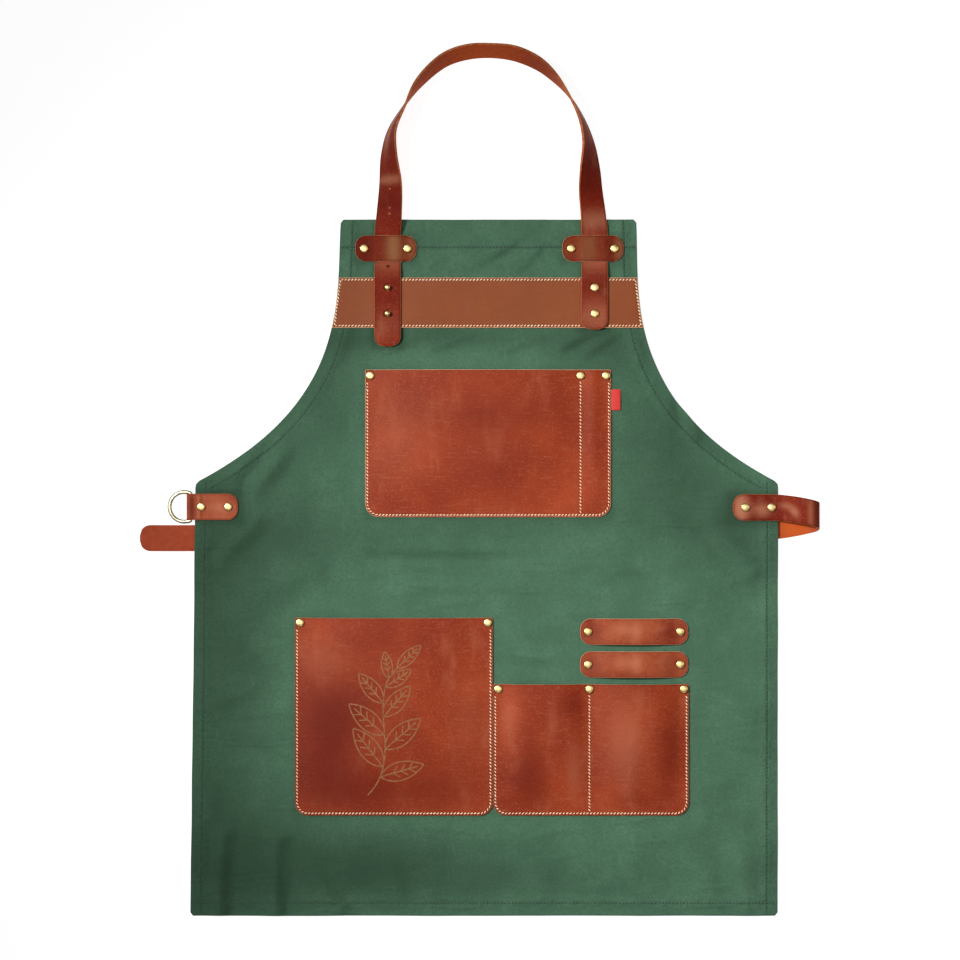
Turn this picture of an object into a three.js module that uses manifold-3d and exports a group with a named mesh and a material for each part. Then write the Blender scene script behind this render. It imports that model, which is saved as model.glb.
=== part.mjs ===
// Gardening apron laid on its back: a waxed canvas body with riveted leather pockets, loops and straps.
// Millimetres. X runs across the apron, Y from its hem to its bib, and Z up from the floor.
import * as THREE from "three";
import { mergeVertices } from "three/addons/utils/BufferGeometryUtils.js";
import Module from "manifold-3d";

const wasm = await Module();
wasm.setup();

// Layers of material and the gap between pieces that touch
const CLOTH = 1.2;
const LEATHER = 2.0;
const GAP = 0.3;

// Canvas body, from the hem up to the waist corners and on to the top of the bib
const SKIRT = { width: 669, height: 497, flare: 3, corner: 6 };
const BIB = { width: 339, height: 303 };
const HEM = { foot: 14.5, side: 12.5, armhole: 15, top: 40, step: 0.5 };

// The body lies a little aslant: where its middle is at the hem and at the top of the bib
const ASLANT = { hem: -1.7, bib: 3.4 };

// Height of the canvas over the floor under its lower pockets and on its bib, where rivets stand behind it
const LIE = { pockets: 1.8, bib: 2.8, spread: 45, margin: 10 };

// Leather band across the bib
const BAND = { drop: 67, height: 57.5, inset: 0.6 };

// Neck strap: two feet on the band and a loop beyond the bib that turns up on its edge
const NECK = { width: 30, thickness: 2.8, spacing: 237.6, shift: 6.5, reach: 195 };
const FOOT = { left: 146, right: 126.5, round: 11 };

// Keepers that hold the neck strap down on the bib, each set a little left of the strap
const KEEPER = { width: 70, height: 30, drop: 33.5, rivets: 49.6, round: 12, offset: 2 };

// Chest pocket with a narrow slot for a pen at its right
const CHEST = { width: 281.8, height: 169, drop: 172.7, shift: 3.1, pen: 34.9, round: 16, bulge: 7 };

// Two lower pockets side by side, placed below the waist corners
const TOOL = { width: 226.9, height: 226.9, drop: 154.4, round: 15, bulge: 8 };
const DOUBLE = { width: 224.4, height: 150.6, share: 0.492, round: 15, bulge: 7.5 };
const LOWER = { seam: 8.6, between: 0.7 };

// Tool loops over the double pocket
const LOOP = { width: 124, height: 30, above: 7.7, rivets: 106, round: 12, bulge: 7, shift: 49.5 };

// Small cloth tab in the side seam of the chest pocket
const SIDE_TAB = { width: 11, height: 24, drop: 22.5, thickness: 1.2 };

// Ring and the leather tab that folds round it at the left waist corner
const RING = { width: 38.6, depth: 29, wire: 3.8, corner: 2.2 };
const RING_TAB = { length: 55, height: 30, drop: 27, overhang: 4.4, round: 12 };

// Waist strap, riveted at the right corner, folded back under the canvas and out at the left
const WAIST = {
  width: 30, thickness: 2.8, round: 12, overlap: 49, drop: 27.6, reach: 49, loop: 17.6, tail: 62.5,
  slope: 13.6,
};

// Rivets and studs
const RIVET = { cap: 4.7, dome: 2.2, back: 4, plate: 1.1, shank: 1.5, inset: 5.6, sides: 8 };
const STUD = { ball: 3.2 };
const SEAM = 10;

const COLOURS = { canvas: 0x4b6a54, leather: 0x964431, strap: 0x7b3526, brass: 0xc9a15a, tab: 0xd83a32 };

const waistLine = SKIRT.height;
const bibTop = SKIRT.height + BIB.height;
const skirtHalf = SKIRT.width / 2;
const bibHalf = BIB.width / 2;

// Finishes
function finish(color, roughness, metalness) {
  return new THREE.MeshStandardMaterial({ color, roughness, metalness });
}

const canvasCloth = finish(COLOURS.canvas, 0.85, 0);
const pocketLeather = finish(COLOURS.leather, 0.55, 0);
const strapLeather = finish(COLOURS.strap, 0.55, 0);
const brass = finish(COLOURS.brass, 0.3, 1);
const tabCloth = finish(COLOURS.tab, 0.8, 0);

const apron = new THREE.Group();

function place(name, geometry, material) {
  const mesh = new THREE.Mesh(geometry, material);
  mesh.name = name;
  apron.add(mesh);
  return mesh;
}

// Six times the volume inside a closed triangle mesh, negative where its faces point in
function signedVolume(points, faces) {
  let sum = 0;
  for (let i = 0; i < faces.length; i += 3) {
    const [a, b, c] = [points[faces[i]], points[faces[i + 1]], points[faces[i + 2]]];
    sum += a.dot(b.clone().cross(c));
  }
  return sum;
}

function closedMesh(points, faces) {
  const turned = signedVolume(points, faces) < 0 ? faces.slice().reverse() : faces;
  const geometry = new THREE.BufferGeometry();
  geometry.setAttribute("position", new THREE.Float32BufferAttribute(points.flatMap((p) => p.toArray()), 3));
  geometry.setIndex(turned);
  return geometry;
}

// A body skinned over a row of equal rings: closed on itself, or with a flat cap at each end
function loft(rings, closed) {
  const points = rings.flat();
  const around = rings[0].length;
  const faces = [];
  const spans = closed ? rings.length : rings.length - 1;
  for (let i = 0; i < spans; i += 1) {
    for (let j = 0; j < around; j += 1) {
      const a = i * around + j;
      const b = i * around + ((j + 1) % around);
      const c = ((i + 1) % rings.length) * around + ((j + 1) % around);
      const d = ((i + 1) % rings.length) * around + j;
      faces.push(a, b, c, a, c, d);
    }
  }
  if (!closed) {
    const last = (rings.length - 1) * around;
    for (let j = 1; j < around - 1; j += 1) {
      faces.push(0, j + 1, j, last, last + j, last + j + 1);
    }
  }
  return closedMesh(points, faces);
}

// A sheet between an upper and a lower grid of points, closed round its border
function sheet(upper, lower) {
  const rows = upper.length;
  const columns = upper[0].length;
  const points = [...upper.flat(), ...lower.flat()];
  const at = (side, i, j) => side * rows * columns + i * columns + j;
  const faces = [];
  const quad = (a, b, c, d) => faces.push(a, b, c, a, c, d);
  for (let i = 0; i < rows - 1; i += 1) {
    for (let j = 0; j < columns - 1; j += 1) {
      quad(at(0, i, j), at(0, i, j + 1), at(0, i + 1, j + 1), at(0, i + 1, j));
      quad(at(1, i, j), at(1, i + 1, j), at(1, i + 1, j + 1), at(1, i, j + 1));
    }
  }
  for (let j = 0; j < columns - 1; j += 1) {
    quad(at(1, 0, j), at(1, 0, j + 1), at(0, 0, j + 1), at(0, 0, j));
    quad(at(0, rows - 1, j), at(0, rows - 1, j + 1), at(1, rows - 1, j + 1), at(1, rows - 1, j));
  }
  for (let i = 0; i < rows - 1; i += 1) {
    quad(at(0, i, 0), at(0, i + 1, 0), at(1, i + 1, 0), at(1, i, 0));
    quad(at(1, i, columns - 1), at(1, i + 1, columns - 1), at(0, i + 1, columns - 1), at(0, i, columns - 1));
  }
  return closedMesh(points, faces);
}

function toSolid(geometry) {
  const bare = geometry.clone();
  bare.deleteAttribute("normal");
  bare.deleteAttribute("uv");
  const merged = mergeVertices(bare, 1e-4);
  return new wasm.Manifold(new wasm.Mesh({
    numProp: 3,
    vertProperties: new Float32Array(merged.attributes.position.array),
    triVerts: new Uint32Array(merged.index.array),
  }));
}

function toGeometry(solid) {
  const mesh = solid.getMesh();
  const geometry = new THREE.BufferGeometry();
  geometry.setAttribute("position", new THREE.BufferAttribute(mesh.vertProperties, mesh.numProp));
  geometry.setIndex(new THREE.BufferAttribute(mesh.triVerts, 1));
  return geometry;
}

// Round holes for rivets, punched from below the lowest to above the highest layer
function punch(geometry, holes) {
  let solid = toSolid(geometry);
  for (const hole of holes) {
    const drill = new THREE.CylinderGeometry(hole.radius, hole.radius, 6 * LOOP.bulge, 8);
    drill.rotateX(Math.PI / 2);
    drill.translate(hole.x, hole.y, 0);
    solid = solid.subtract(toSolid(drill));
  }
  return toGeometry(solid);
}

function extruded(shape, depth, curveSegments) {
  return new THREE.ExtrudeGeometry(shape, { depth, bevelEnabled: false, curveSegments });
}

// Trims a sheet to a plan outline
function trim(geometry, shape) {
  const cutter = extruded(shape, 12 * LOOP.bulge, 4);
  cutter.translate(0, 0, -6 * LOOP.bulge);
  return toGeometry(toSolid(geometry).intersect(toSolid(cutter)));
}

// A plan rectangle with its own rounding for the top and the bottom corners
function roundedPlan(left, right, bottom, top, roundTop, roundBottom) {
  const shape = new THREE.Shape();
  shape.moveTo(left + roundBottom, bottom);
  shape.lineTo(right - roundBottom, bottom);
  shape.absarc(right - roundBottom, bottom + roundBottom, roundBottom, -Math.PI / 2, 0, false);
  shape.lineTo(right, top - roundTop);
  shape.absarc(right - roundTop, top - roundTop, roundTop, 0, Math.PI / 2, false);
  shape.lineTo(left + roundTop, top);
  shape.absarc(left + roundTop, top - roundTop, roundTop, Math.PI / 2, Math.PI, false);
  shape.lineTo(left, bottom + roundBottom);
  shape.absarc(left + roundBottom, bottom + roundBottom, roundBottom, Math.PI, 1.5 * Math.PI, false);
  return shape;
}

const smooth = (t) => THREE.MathUtils.smoothstep(t, 0, 1);
const ramp = (value, from, to) => THREE.MathUtils.clamp((value - from) / (to - from), 0, 1);

// Where each leather piece lies on the canvas
const band = { top: bibTop - BAND.drop, bottom: bibTop - BAND.drop - BAND.height };
const middleAt = (y) => THREE.MathUtils.lerp(ASLANT.hem, ASLANT.bib, y / bibTop);
const neckX = { left: NECK.shift - NECK.spacing / 2, right: NECK.shift + NECK.spacing / 2 };
const keeperY = bibTop - KEEPER.drop;
const chest = {
  left: CHEST.shift - CHEST.width / 2,
  right: CHEST.shift + CHEST.width / 2,
  top: bibTop - CHEST.drop,
  bottom: bibTop - CHEST.drop - CHEST.height,
};
const tool = {
  right: LOWER.seam - GAP,
  left: LOWER.seam - GAP - TOOL.width,
  top: waistLine - TOOL.drop,
  bottom: waistLine - TOOL.drop - TOOL.height,
};
const double = {
  left: tool.right + LOWER.between,
  right: tool.right + LOWER.between + DOUBLE.width,
  bottom: tool.bottom,
  top: tool.bottom + DOUBLE.height,
};
const loopX = double.left + DOUBLE.width / 2 + LOOP.shift;
const loopBottoms = [double.top + LOOP.above, double.top + 2 * LOOP.above + LOOP.height];
const waistRun = waistLine - WAIST.drop;
const ringY = waistLine - RING_TAB.drop;
const strapLow = waistRun - WAIST.slope * 2.3 - WAIST.width / 2;

// The armhole is one smooth curve from the bib's side down and out to the waist corner
const armhole = new THREE.CubicBezierCurve(
  new THREE.Vector2(bibHalf, bibTop),
  new THREE.Vector2(bibHalf + 0.037 * (skirtHalf - bibHalf), bibTop - 0.274 * BIB.height),
  new THREE.Vector2(bibHalf - 0.109 * (skirtHalf - bibHalf), waistLine + 0.319 * BIB.height),
  new THREE.Vector2(skirtHalf - 0.43 * SKIRT.corner, waistLine + SKIRT.corner / 3),
);

function armholeAt(y) {
  let low = 0;
  let high = 1;
  for (let i = 0; i < 40; i += 1) {
    const middle = (low + high) / 2;
    if (armhole.getPoint(middle).y > y) {
      low = middle;
    } else {
      high = middle;
    }
  }
  return { x: armhole.getPoint(low).x, tangent: armhole.getTangent(low) };
}

function halfWidth(y) {
  const cornerTop = waistLine + SKIRT.corner / 3;
  if (y > cornerTop) {
    return armholeAt(y).x;
  }
  const side = skirtHalf + SKIRT.flare * (1 - y / waistLine);
  const round = ramp(y, cornerTop - SKIRT.corner, cornerTop);
  return side - 0.43 * SKIRT.corner * round * round;
}

// Inner line of the folded hem, along the armhole and then down the side
function hemLine(y) {
  const cornerTop = waistLine + SKIRT.corner / 3;
  if (y >= cornerTop) {
    const here = armholeAt(y);
    return here.x - HEM.armhole / Math.max(Math.abs(here.tangent.y), 0.3);
  }
  const end = armhole.getTangent(1);
  const fromArmhole = armhole.getPoint(1).x + ((cornerTop - y) * end.x - HEM.armhole) / Math.abs(end.y);
  return Math.min(fromArmhole, halfWidth(y) - HEM.side);
}

// Places where the canvas is held flat by leather
const flats = [
  { left: -bibHalf * 2, right: bibHalf * 2, bottom: band.bottom, top: bibTop },
  chest,
  tool,
  { left: double.left, right: double.right, bottom: double.bottom, top: tool.top },
  { left: -skirtHalf * 2, right: RING_TAB.length - skirtHalf, bottom: strapLow, top: waistLine },
  { left: skirtHalf - WAIST.overlap, right: skirtHalf * 2, bottom: strapLow, top: waistLine },
];

function freedom(x, y) {
  let free = 1;
  for (const flat of flats) {
    const dx = Math.max(flat.left - x, x - flat.right, 0);
    const dy = Math.max(flat.bottom - y, y - flat.top, 0);
    free *= smooth(ramp(Math.hypot(dx, dy), 24, 24 + LIE.spread));
  }
  return free;
}

// Soft folds: two ends as shares of the half width and of the height, then rise and spread in millimetres
const FOLDS = [
  { x0: -0.68, y0: 1.14, x1: -0.8, y1: 1.02, rise: 3.2, spread: 17 },
  { x0: -0.86, y0: 0.86, x1: -0.95, y1: 0.72, rise: 3, spread: 16 },
  { x0: 0.66, y0: 1.17, x1: 0.75, y1: 1.05, rise: 3, spread: 18 },
  { x0: 0.82, y0: 0.82, x1: 0.93, y1: 0.66, rise: 2.6, spread: 18 },
  { x0: 0.78, y0: 0.5, x1: 0.92, y1: 0.44, rise: 2.2, spread: 16 },
  { x0: -0.9, y0: 0.03, x1: -0.87, y1: 0.19, rise: 3.4, spread: 15 },
  { x0: -0.71, y0: 0.03, x1: -0.73, y1: 0.16, rise: 2.8, spread: 14 },
  { x0: 0.83, y0: 0.02, x1: 0.88, y1: 0.3, rise: 2, spread: 20 },
];

function foldRise(x, y) {
  let rise = 0;
  for (const fold of FOLDS) {
    const heightAt = (share) => (share < 1 ? share * waistLine : waistLine + (share - 1) * BIB.height);
    const a = new THREE.Vector2(fold.x0 * skirtHalf, heightAt(fold.y0));
    const b = new THREE.Vector2(fold.x1 * skirtHalf, heightAt(fold.y1));
    const along = b.clone().sub(a);
    const t = THREE.MathUtils.clamp(new THREE.Vector2(x, y).sub(a).dot(along) / along.lengthSq(), 0, 1);
    const away = a.addScaledVector(along, t).distanceTo(new THREE.Vector2(x, y)) / fold.spread;
    rise += fold.rise * Math.exp(-away * away);
  }
  return rise;
}

// The canvas climbs over the waist strap and stays up as far as the chest pocket
const raised = CLOTH + WAIST.thickness + 3 * GAP;
const climb = {
  from: tool.top + LIE.margin,
  to: strapLow - LIE.margin,
  leave: chest.top + LIE.margin / 2,
  down: band.bottom - LIE.margin,
};

function underside(x, y) {
  const up = ramp(y, climb.from, climb.to) * (1 - ramp(y, climb.leave, climb.down));
  const foot = CLOTH + (LIE.pockets - CLOTH) * ramp(y, HEM.foot, LIE.spread + HEM.foot);
  const low = THREE.MathUtils.lerp(foot, LIE.bib, ramp(y, climb.leave, climb.down));
  return THREE.MathUtils.lerp(low, raised, up) + foldRise(x, y) * freedom(x, y);
}

// Rows of the canvas: every line where its form changes, with even rows between them
function canvasRows() {
  const corner = waistLine + SKIRT.corner / 3;
  const lines = [
    0, HEM.foot - HEM.step, HEM.foot, LIE.spread + HEM.foot, climb.from, climb.to, waistLine - HEM.armhole,
    corner - SKIRT.corner, corner, climb.leave, climb.down, bibTop - HEM.top, bibTop - HEM.top + HEM.step,
    bibTop,
  ];
  const rows = [lines[0]];
  for (let i = 1; i < lines.length; i += 1) {
    const parts = Math.max(1, Math.round((lines[i] - lines[i - 1]) / 27));
    for (let k = 1; k <= parts; k += 1) {
      rows.push(THREE.MathUtils.lerp(lines[i - 1], lines[i], k / parts));
    }
  }
  return rows;
}

function canvasBody() {
  const inner = 24;
  const upper = [];
  const lower = [];
  for (const y of canvasRows()) {
    const edge = halfWidth(y);
    const hem = hemLine(y);
    const across = [];
    const middle = middleAt(y);
    across.push({ x: middle - edge, folded: true }, { x: middle - hem - HEM.step, folded: true });
    for (let k = 0; k <= inner; k += 1) {
      across.push({ x: middle + hem * ((2 * k) / inner - 1), folded: false });
    }
    across.push({ x: middle + hem + HEM.step, folded: true }, { x: middle + edge, folded: true });
    const endHem = y < HEM.foot - HEM.step / 2 || y > bibTop - HEM.top + HEM.step / 2;
    upper.push(across.map(({ x }) => new THREE.Vector3(x, y, underside(x, y) + CLOTH)));
    lower.push(across.map(({ x, folded }) => {
      const layers = folded || endHem ? CLOTH : 0;
      return new THREE.Vector3(x, y, underside(x, y) - layers);
    }));
  }
  return sheet(upper, lower);
}

const canvasHoles = [];
const shankHole = RIVET.shank + GAP;

// A domed rivet with its shank and back plate, through every layer from bottom to top
function rivet(name, x, y, bottom, top) {
  const plate = bottom - GAP - RIVET.plate;
  const seat = top + GAP;
  const profile = [
    [0, plate], [RIVET.back, plate], [RIVET.back, plate + RIVET.plate], [RIVET.shank, plate + RIVET.plate],
    [RIVET.shank, seat], [RIVET.cap, seat], [0.9 * RIVET.cap, seat + 0.5 * RIVET.dome],
    [0.55 * RIVET.cap, seat + 0.88 * RIVET.dome], [0, seat + RIVET.dome],
  ];
  const body = new THREE.LatheGeometry(profile.map(([r, z]) => new THREE.Vector2(r, z)), RIVET.sides);
  body.rotateX(Math.PI / 2);
  body.scale(1, -1, 1);
  fasten(name, body, x, y);
}

// A ball stud: a plate behind the canvas, a neck through the strap's keyhole and a round head
function stud(name, x, y, bottom, top) {
  const plate = bottom - GAP - RIVET.plate;
  const centre = top + GAP + 0.9 * STUD.ball;
  const profile = [
    [0, plate], [RIVET.back, plate], [RIVET.back, plate + RIVET.plate], [RIVET.shank, plate + RIVET.plate],
    [RIVET.shank, top], [0.6 * STUD.ball, top + GAP], [STUD.ball, centre],
    [0.75 * STUD.ball, centre + 0.66 * STUD.ball], [0, centre + STUD.ball],
  ];
  const body = new THREE.LatheGeometry(profile.map(([r, z]) => new THREE.Vector2(r, z)), RIVET.sides);
  body.rotateX(Math.PI / 2);
  body.scale(1, -1, 1);
  fasten(name, body, x, y);
}

function fasten(name, lathed, x, y) {
  const bare = lathed.clone();
  bare.deleteAttribute("normal");
  bare.deleteAttribute("uv");
  const merged = mergeVertices(bare, 1e-4);
  const corner = merged.attributes.position;
  const points = [];
  for (let i = 0; i < corner.count; i += 1) {
    points.push(new THREE.Vector3().fromBufferAttribute(corner, i));
  }
  const faces = [];
  for (let i = 0; i < merged.index.count; i += 3) {
    const [a, b, c] = [merged.index.getX(i), merged.index.getX(i + 1), merged.index.getX(i + 2)];
    if (a !== b && b !== c && a !== c) {
      faces.push(a, b, c);
    }
  }
  const mesh = place(name, closedMesh(points, faces), brass);
  mesh.position.set(x, y, 0);
}

// A leather panel on a grid of columns and rows, lifted off the canvas by rise
function panel(columns, rows, base, rise) {
  const row = (y, lift) => columns.map((x) => new THREE.Vector3(x, y, base + rise(x, y) + lift));
  const grid = (lift) => rows.map((y) => row(y, lift));
  return sheet(grid(LEATHER), grid(0));
}

const canvasTop = (y) => underside(0, y) + CLOTH;

// How far a pocket stands open across its width and down its depth, as shares of its bulge
const ACROSS = [
  { at: 0, open: 0 }, { at: 0.06, open: 0.45 }, { at: 0.2, open: 0.86 }, { at: 0.5, open: 1 },
  { at: 0.8, open: 0.86 }, { at: 0.94, open: 0.45 }, { at: 1, open: 0 },
];
const SLOT = [
  { at: 0, open: 0 }, { at: 0.25, open: 0.82 }, { at: 0.5, open: 1 }, { at: 0.75, open: 0.82 },
  { at: 1, open: 0 },
];
const DOWN = [
  { at: 0, open: 1 }, { at: 0.3, open: 0.95 }, { at: 0.55, open: 0.8 }, { at: 0.8, open: 0.45 },
  { at: 1, open: 0 },
];

function openAt(table, share) {
  for (let i = 1; i < table.length; i += 1) {
    if (share <= table[i].at) {
      const t = (share - table[i - 1].at) / (table[i].at - table[i - 1].at);
      return THREE.MathUtils.lerp(table[i - 1].open, table[i].open, t);
    }
  }
  return 0;
}

// A patch pocket, sewn flat round three sides and standing open along its top between its rivets
function pocket(name, area, base, bulge, round, rooms, rivets) {
  const floor = area.bottom + SEAM;
  const rows = [area.bottom, ...DOWN.map(({ at }) => area.top - at * (area.top - floor)).reverse()];
  const columns = [area.left];
  for (const room of rooms) {
    columns.push(...room.table.map(({ at }) => THREE.MathUtils.lerp(room.from, room.to, at)));
  }
  columns.push(area.right);
  const rise = (x, y) => {
    const room = rooms.find(({ from, to }) => x > from && x < to);
    if (!room || y < floor) {
      return 0;
    }
    const across = openAt(room.table, (x - room.from) / (room.to - room.from));
    return bulge * across * openAt(DOWN, (area.top - y) / (area.top - floor));
  };
  const plan = roundedPlan(area.left, area.right, area.bottom, area.top, 2, round);
  const holes = rivets.map(({ x, y }) => ({ x, y, radius: shankHole }));
  place(name, punch(trim(panel(columns, rows, base, rise), plan), holes), pocketLeather);
  rivets.forEach(({ x, y }, i) => {
    rivet(`${name}_rivet_${i + 1}`, x, y, underside(x, y), base + LEATHER);
    canvasHoles.push({ x, y, radius: shankHole });
  });
}

// A strip riveted down at both ends and arched between them, over a plain or a hemmed place
function strip(name, centre, size, bulge, table, hem) {
  const half = { x: size.width / 2, y: size.height / 2, arch: size.rivets / 2 - RIVET.cap - GAP };
  const base = canvasTop(centre.y) + GAP;
  const arch = table.map(({ at }) => (2 * at - 1) * half.arch);
  const columns = [-half.x, ...arch, half.x].map((x) => x + centre.x);
  const rise = (x) => {
    const share = (x - centre.x + half.arch) / (2 * half.arch);
    return share <= 0 || share >= 1 ? 0 : bulge * openAt(table, share);
  };
  const rows = [centre.y - half.y, centre.y + half.y];
  const [left, right] = [centre.x - half.x, centre.x + half.x];
  const plan = roundedPlan(left, right, rows[0], rows[1], size.round, size.round);
  const ends = [centre.x - size.rivets / 2, centre.x + size.rivets / 2];
  const holes = ends.map((x) => ({ x, y: centre.y, radius: shankHole }));
  place(name, punch(trim(panel(columns, rows, base, rise), plan), holes), pocketLeather);
  ends.forEach((x, i) => {
    rivet(`${name}_rivet_${i + 1}`, x, centre.y, underside(x, centre.y) - hem, base + LEATHER);
    canvasHoles.push({ x, y: centre.y, radius: shankHole });
  });
}

// A strap from its centre line and the direction of its width at each station, round at both ends
function strap(stations, size, sideAt, steps) {
  const path = new THREE.CatmullRomCurve3(stations.map(({ centre }) => centre), false, "centripetal");
  const spans = stations.length - 1;
  const shares = [];
  for (let i = 0; i < spans; i += 1) {
    for (let k = 0; k < steps; k += 1) {
      shares.push((i + k / steps) / spans);
    }
  }
  shares.push(1);
  const rings = [];
  for (const share of shares) {
    const index = Math.min(Math.floor(share * spans), spans - 1);
    const t = share * spans - index;
    const tangent = path.getTangent(share);
    const side = sideAt(tangent, stations[index], stations[index + 1], t);
    const normal = tangent.clone().cross(side).normalize().multiplyScalar(size.thickness / 2);
    const width = THREE.MathUtils.lerp(stations[index].width, stations[index + 1].width, t);
    const across = side.clone().multiplyScalar((size.width * width) / 2);
    const centre = path.getPoint(share);
    rings.push([
      centre.clone().add(across).add(normal), centre.clone().sub(across).add(normal),
      centre.clone().sub(across).sub(normal), centre.clone().add(across).sub(normal),
    ]);
  }
  return loft(rings, false);
}

// Loop of the neck strap: place across the legs' spacing and up its reach, the lean of its width
// in degrees, and how far its lower edge still stands over the floor as a share of the canvas's top
const NECK_LOOP = [
  { across: -0.984, up: 0.022, lean: 16, stand: 1 },
  { across: -0.97, up: 0.2, lean: 32, stand: 0.12 },
  { across: -0.984, up: 0.376, lean: 54, stand: 0 },
  { across: -0.955, up: 0.517, lean: 71, stand: 0 },
  { across: -0.839, up: 0.658, lean: 83, stand: 0 },
  { across: -0.703, up: 0.792, lean: 100, stand: 0 },
  { across: -0.456, up: 0.929, lean: 110, stand: 0 },
  { across: -0.232, up: 0.978, lean: 113, stand: 0 },
  { across: 0, up: 0.986, lean: 111, stand: 0 },
  { across: 0.233, up: 0.969, lean: 113, stand: 0 },
  { across: 0.453, up: 0.91, lean: 108, stand: 0 },
  { across: 0.603, up: 0.834, lean: 99, stand: 0 },
  { across: 0.744, up: 0.729, lean: 86, stand: 0 },
  { across: 0.87, up: 0.588, lean: 77, stand: 0 },
  { across: 0.938, up: 0.446, lean: 64, stand: 0 },
  { across: 0.955, up: 0.29, lean: 41, stand: 0 },
  { across: 0.962, up: 0.164, lean: 27, stand: 0.2 },
  { across: 0.986, up: 0.022, lean: 16, stand: 1 },
];

function neckStations() {
  const clear = LIE.bib + CLOTH + GAP;
  const onBand = clear + LEATHER + GAP;
  const half = NECK.thickness / 2;
  const lying = (x, y, low, width) => ({ centre: new THREE.Vector3(x, y, low + half), lean: 0, width });
  const leg = (x, length) => [
    lying(x, bibTop - length, onBand, 0.35),
    lying(x, bibTop - length + 0.12 * FOOT.round, onBand, 0.62),
    lying(x, bibTop - length + 0.45 * FOOT.round, onBand, 0.87),
    lying(x, bibTop - length + FOOT.round, onBand, 1),
    lying(x, (band.top + band.bottom) / 2, onBand, 1),
    lying(x, band.top - RIVET.inset, onBand, 1),
    lying(x, band.top + 1, onBand, 1),
    lying(x, keeperY - KEEPER.height / 2 - 1, clear, 1),
    lying(x, keeperY - KEEPER.height / 4, clear, 1),
    lying(x, keeperY, clear, 1),
    lying(x, keeperY + KEEPER.height / 2, clear, 1),
  ];
  const loop = NECK_LOOP.map(({ across, up, lean, stand }) => {
    const angle = THREE.MathUtils.degToRad(lean);
    const rise = (Math.sin(angle) * NECK.width + Math.abs(Math.cos(angle)) * NECK.thickness) / 2;
    const x = NECK.shift + (across * NECK.spacing) / 2;
    return { centre: new THREE.Vector3(x, bibTop + up * NECK.reach, stand * clear + rise), lean, width: 1 };
  });
  return [...leg(neckX.left, FOOT.left), ...loop, ...leg(neckX.right, FOOT.right).reverse()];
}

function neckSide(tangent, from, to, t) {
  const lean = THREE.MathUtils.degToRad(THREE.MathUtils.lerp(from.lean, to.lean, t));
  const inward = new THREE.Vector3(tangent.y, -tangent.x, 0).normalize().multiplyScalar(Math.cos(lean));
  return inward.add(new THREE.Vector3(0, 0, Math.sin(lean)));
}

// Loop of the waist strap at the right corner: out from the canvas, down the run, and up
const WAIST_LOOP = [
  { out: 0, run: 0.02, up: 0.01 },
  { out: 0.24, run: 0.08, up: 0.2 },
  { out: 0.55, run: 0.24, up: 0.58 },
  { out: 0.82, run: 0.44, up: 0.68 },
  { out: 0.98, run: 0.66, up: 0.38 },
  { out: 0.95, run: 0.92, up: -0.06 },
  { out: 0.7, run: 1.18, up: -0.3 },
  { out: 0.42, run: 1.38, up: -0.335 },
  { out: 0.05, run: 1.56, up: -0.335 },
];

function waistStations() {
  const edge = skirtHalf;
  const top = raised + CLOTH + GAP + WAIST.thickness / 2;
  const floor = WAIST.thickness / 2;
  const start = edge - WAIST.overlap;
  const round = WAIST.round;
  const at = (x, y, z, width) => ({ centre: new THREE.Vector3(x, y, z), width });
  const front = [
    at(start, waistRun, top, 0.35), at(start + 0.12 * round, waistRun, top, 0.62),
    at(start + 0.45 * round, waistRun, top, 0.87), at(start + round, waistRun, top, 1),
    at(edge - 0.3 * WAIST.overlap, waistRun, top, 1),
  ];
  const loop = WAIST_LOOP.map(({ out, run, up }) => {
    const z = up <= -0.3 ? floor + (up + 0.335) * WAIST.loop : top + up * WAIST.loop;
    return at(edge + out * WAIST.reach, waistRun - run * WAIST.slope, Math.max(z, floor), 1);
  });
  const end = -edge - WAIST.tail;
  const low = waistRun - 2.6 * WAIST.slope;
  const tail = [
    at(0.3 * edge, waistRun - 1.95 * WAIST.slope, floor, 1),
    at(-0.4 * edge, waistRun - 2.35 * WAIST.slope, floor, 1),
    at(-edge, low, floor, 1), at(end + round, low, floor, 1), at(end + 0.45 * round, low, floor, 0.87),
    at(end + 0.12 * round, low, floor, 0.62), at(end, low, floor, 0.35),
  ];
  return [...front, ...loop, ...tail];
}

function waistSide(tangent) {
  const across = new THREE.Vector3(0, 1, 0);
  return across.addScaledVector(tangent, -across.dot(tangent)).normalize();
}

// Band across the bib, as wide as the canvas there
{
  const base = canvasTop(band.top) + GAP;
  const shape = new THREE.Shape();
  const endAt = (y, side) => middleAt(y) + side * (halfWidth(y) - BAND.inset);
  shape.moveTo(endAt(band.bottom, -1), band.bottom);
  shape.lineTo(endAt(band.bottom, 1), band.bottom);
  shape.lineTo(endAt(band.top, 1), band.top);
  shape.lineTo(endAt(band.top, -1), band.top);
  const body = extruded(shape, LEATHER, 1);
  body.translate(0, 0, base);
  const rows = [band.top - 0.2 * BAND.height, band.bottom + 0.28 * BAND.height];
  const holes = rows.flatMap((y) => [neckX.left, neckX.right].map((x) => ({ x, y, radius: shankHole })));
  canvasHoles.push(...holes);
  place("bib_band", punch(body, holes), pocketLeather);

  const ribbon = strap(neckStations(), NECK, neckSide, 2);
  place("neck_strap", punch(ribbon, holes), strapLeather);
  const top = base + LEATHER + GAP + NECK.thickness;
  rows.forEach((y, i) => {
    stud(`strap_stud_${i + 1}`, neckX.left, y, underside(neckX.left, y), top);
    rivet(`strap_rivet_${i + 1}`, neckX.right, y, underside(neckX.right, y), top);
  });
}

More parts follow.
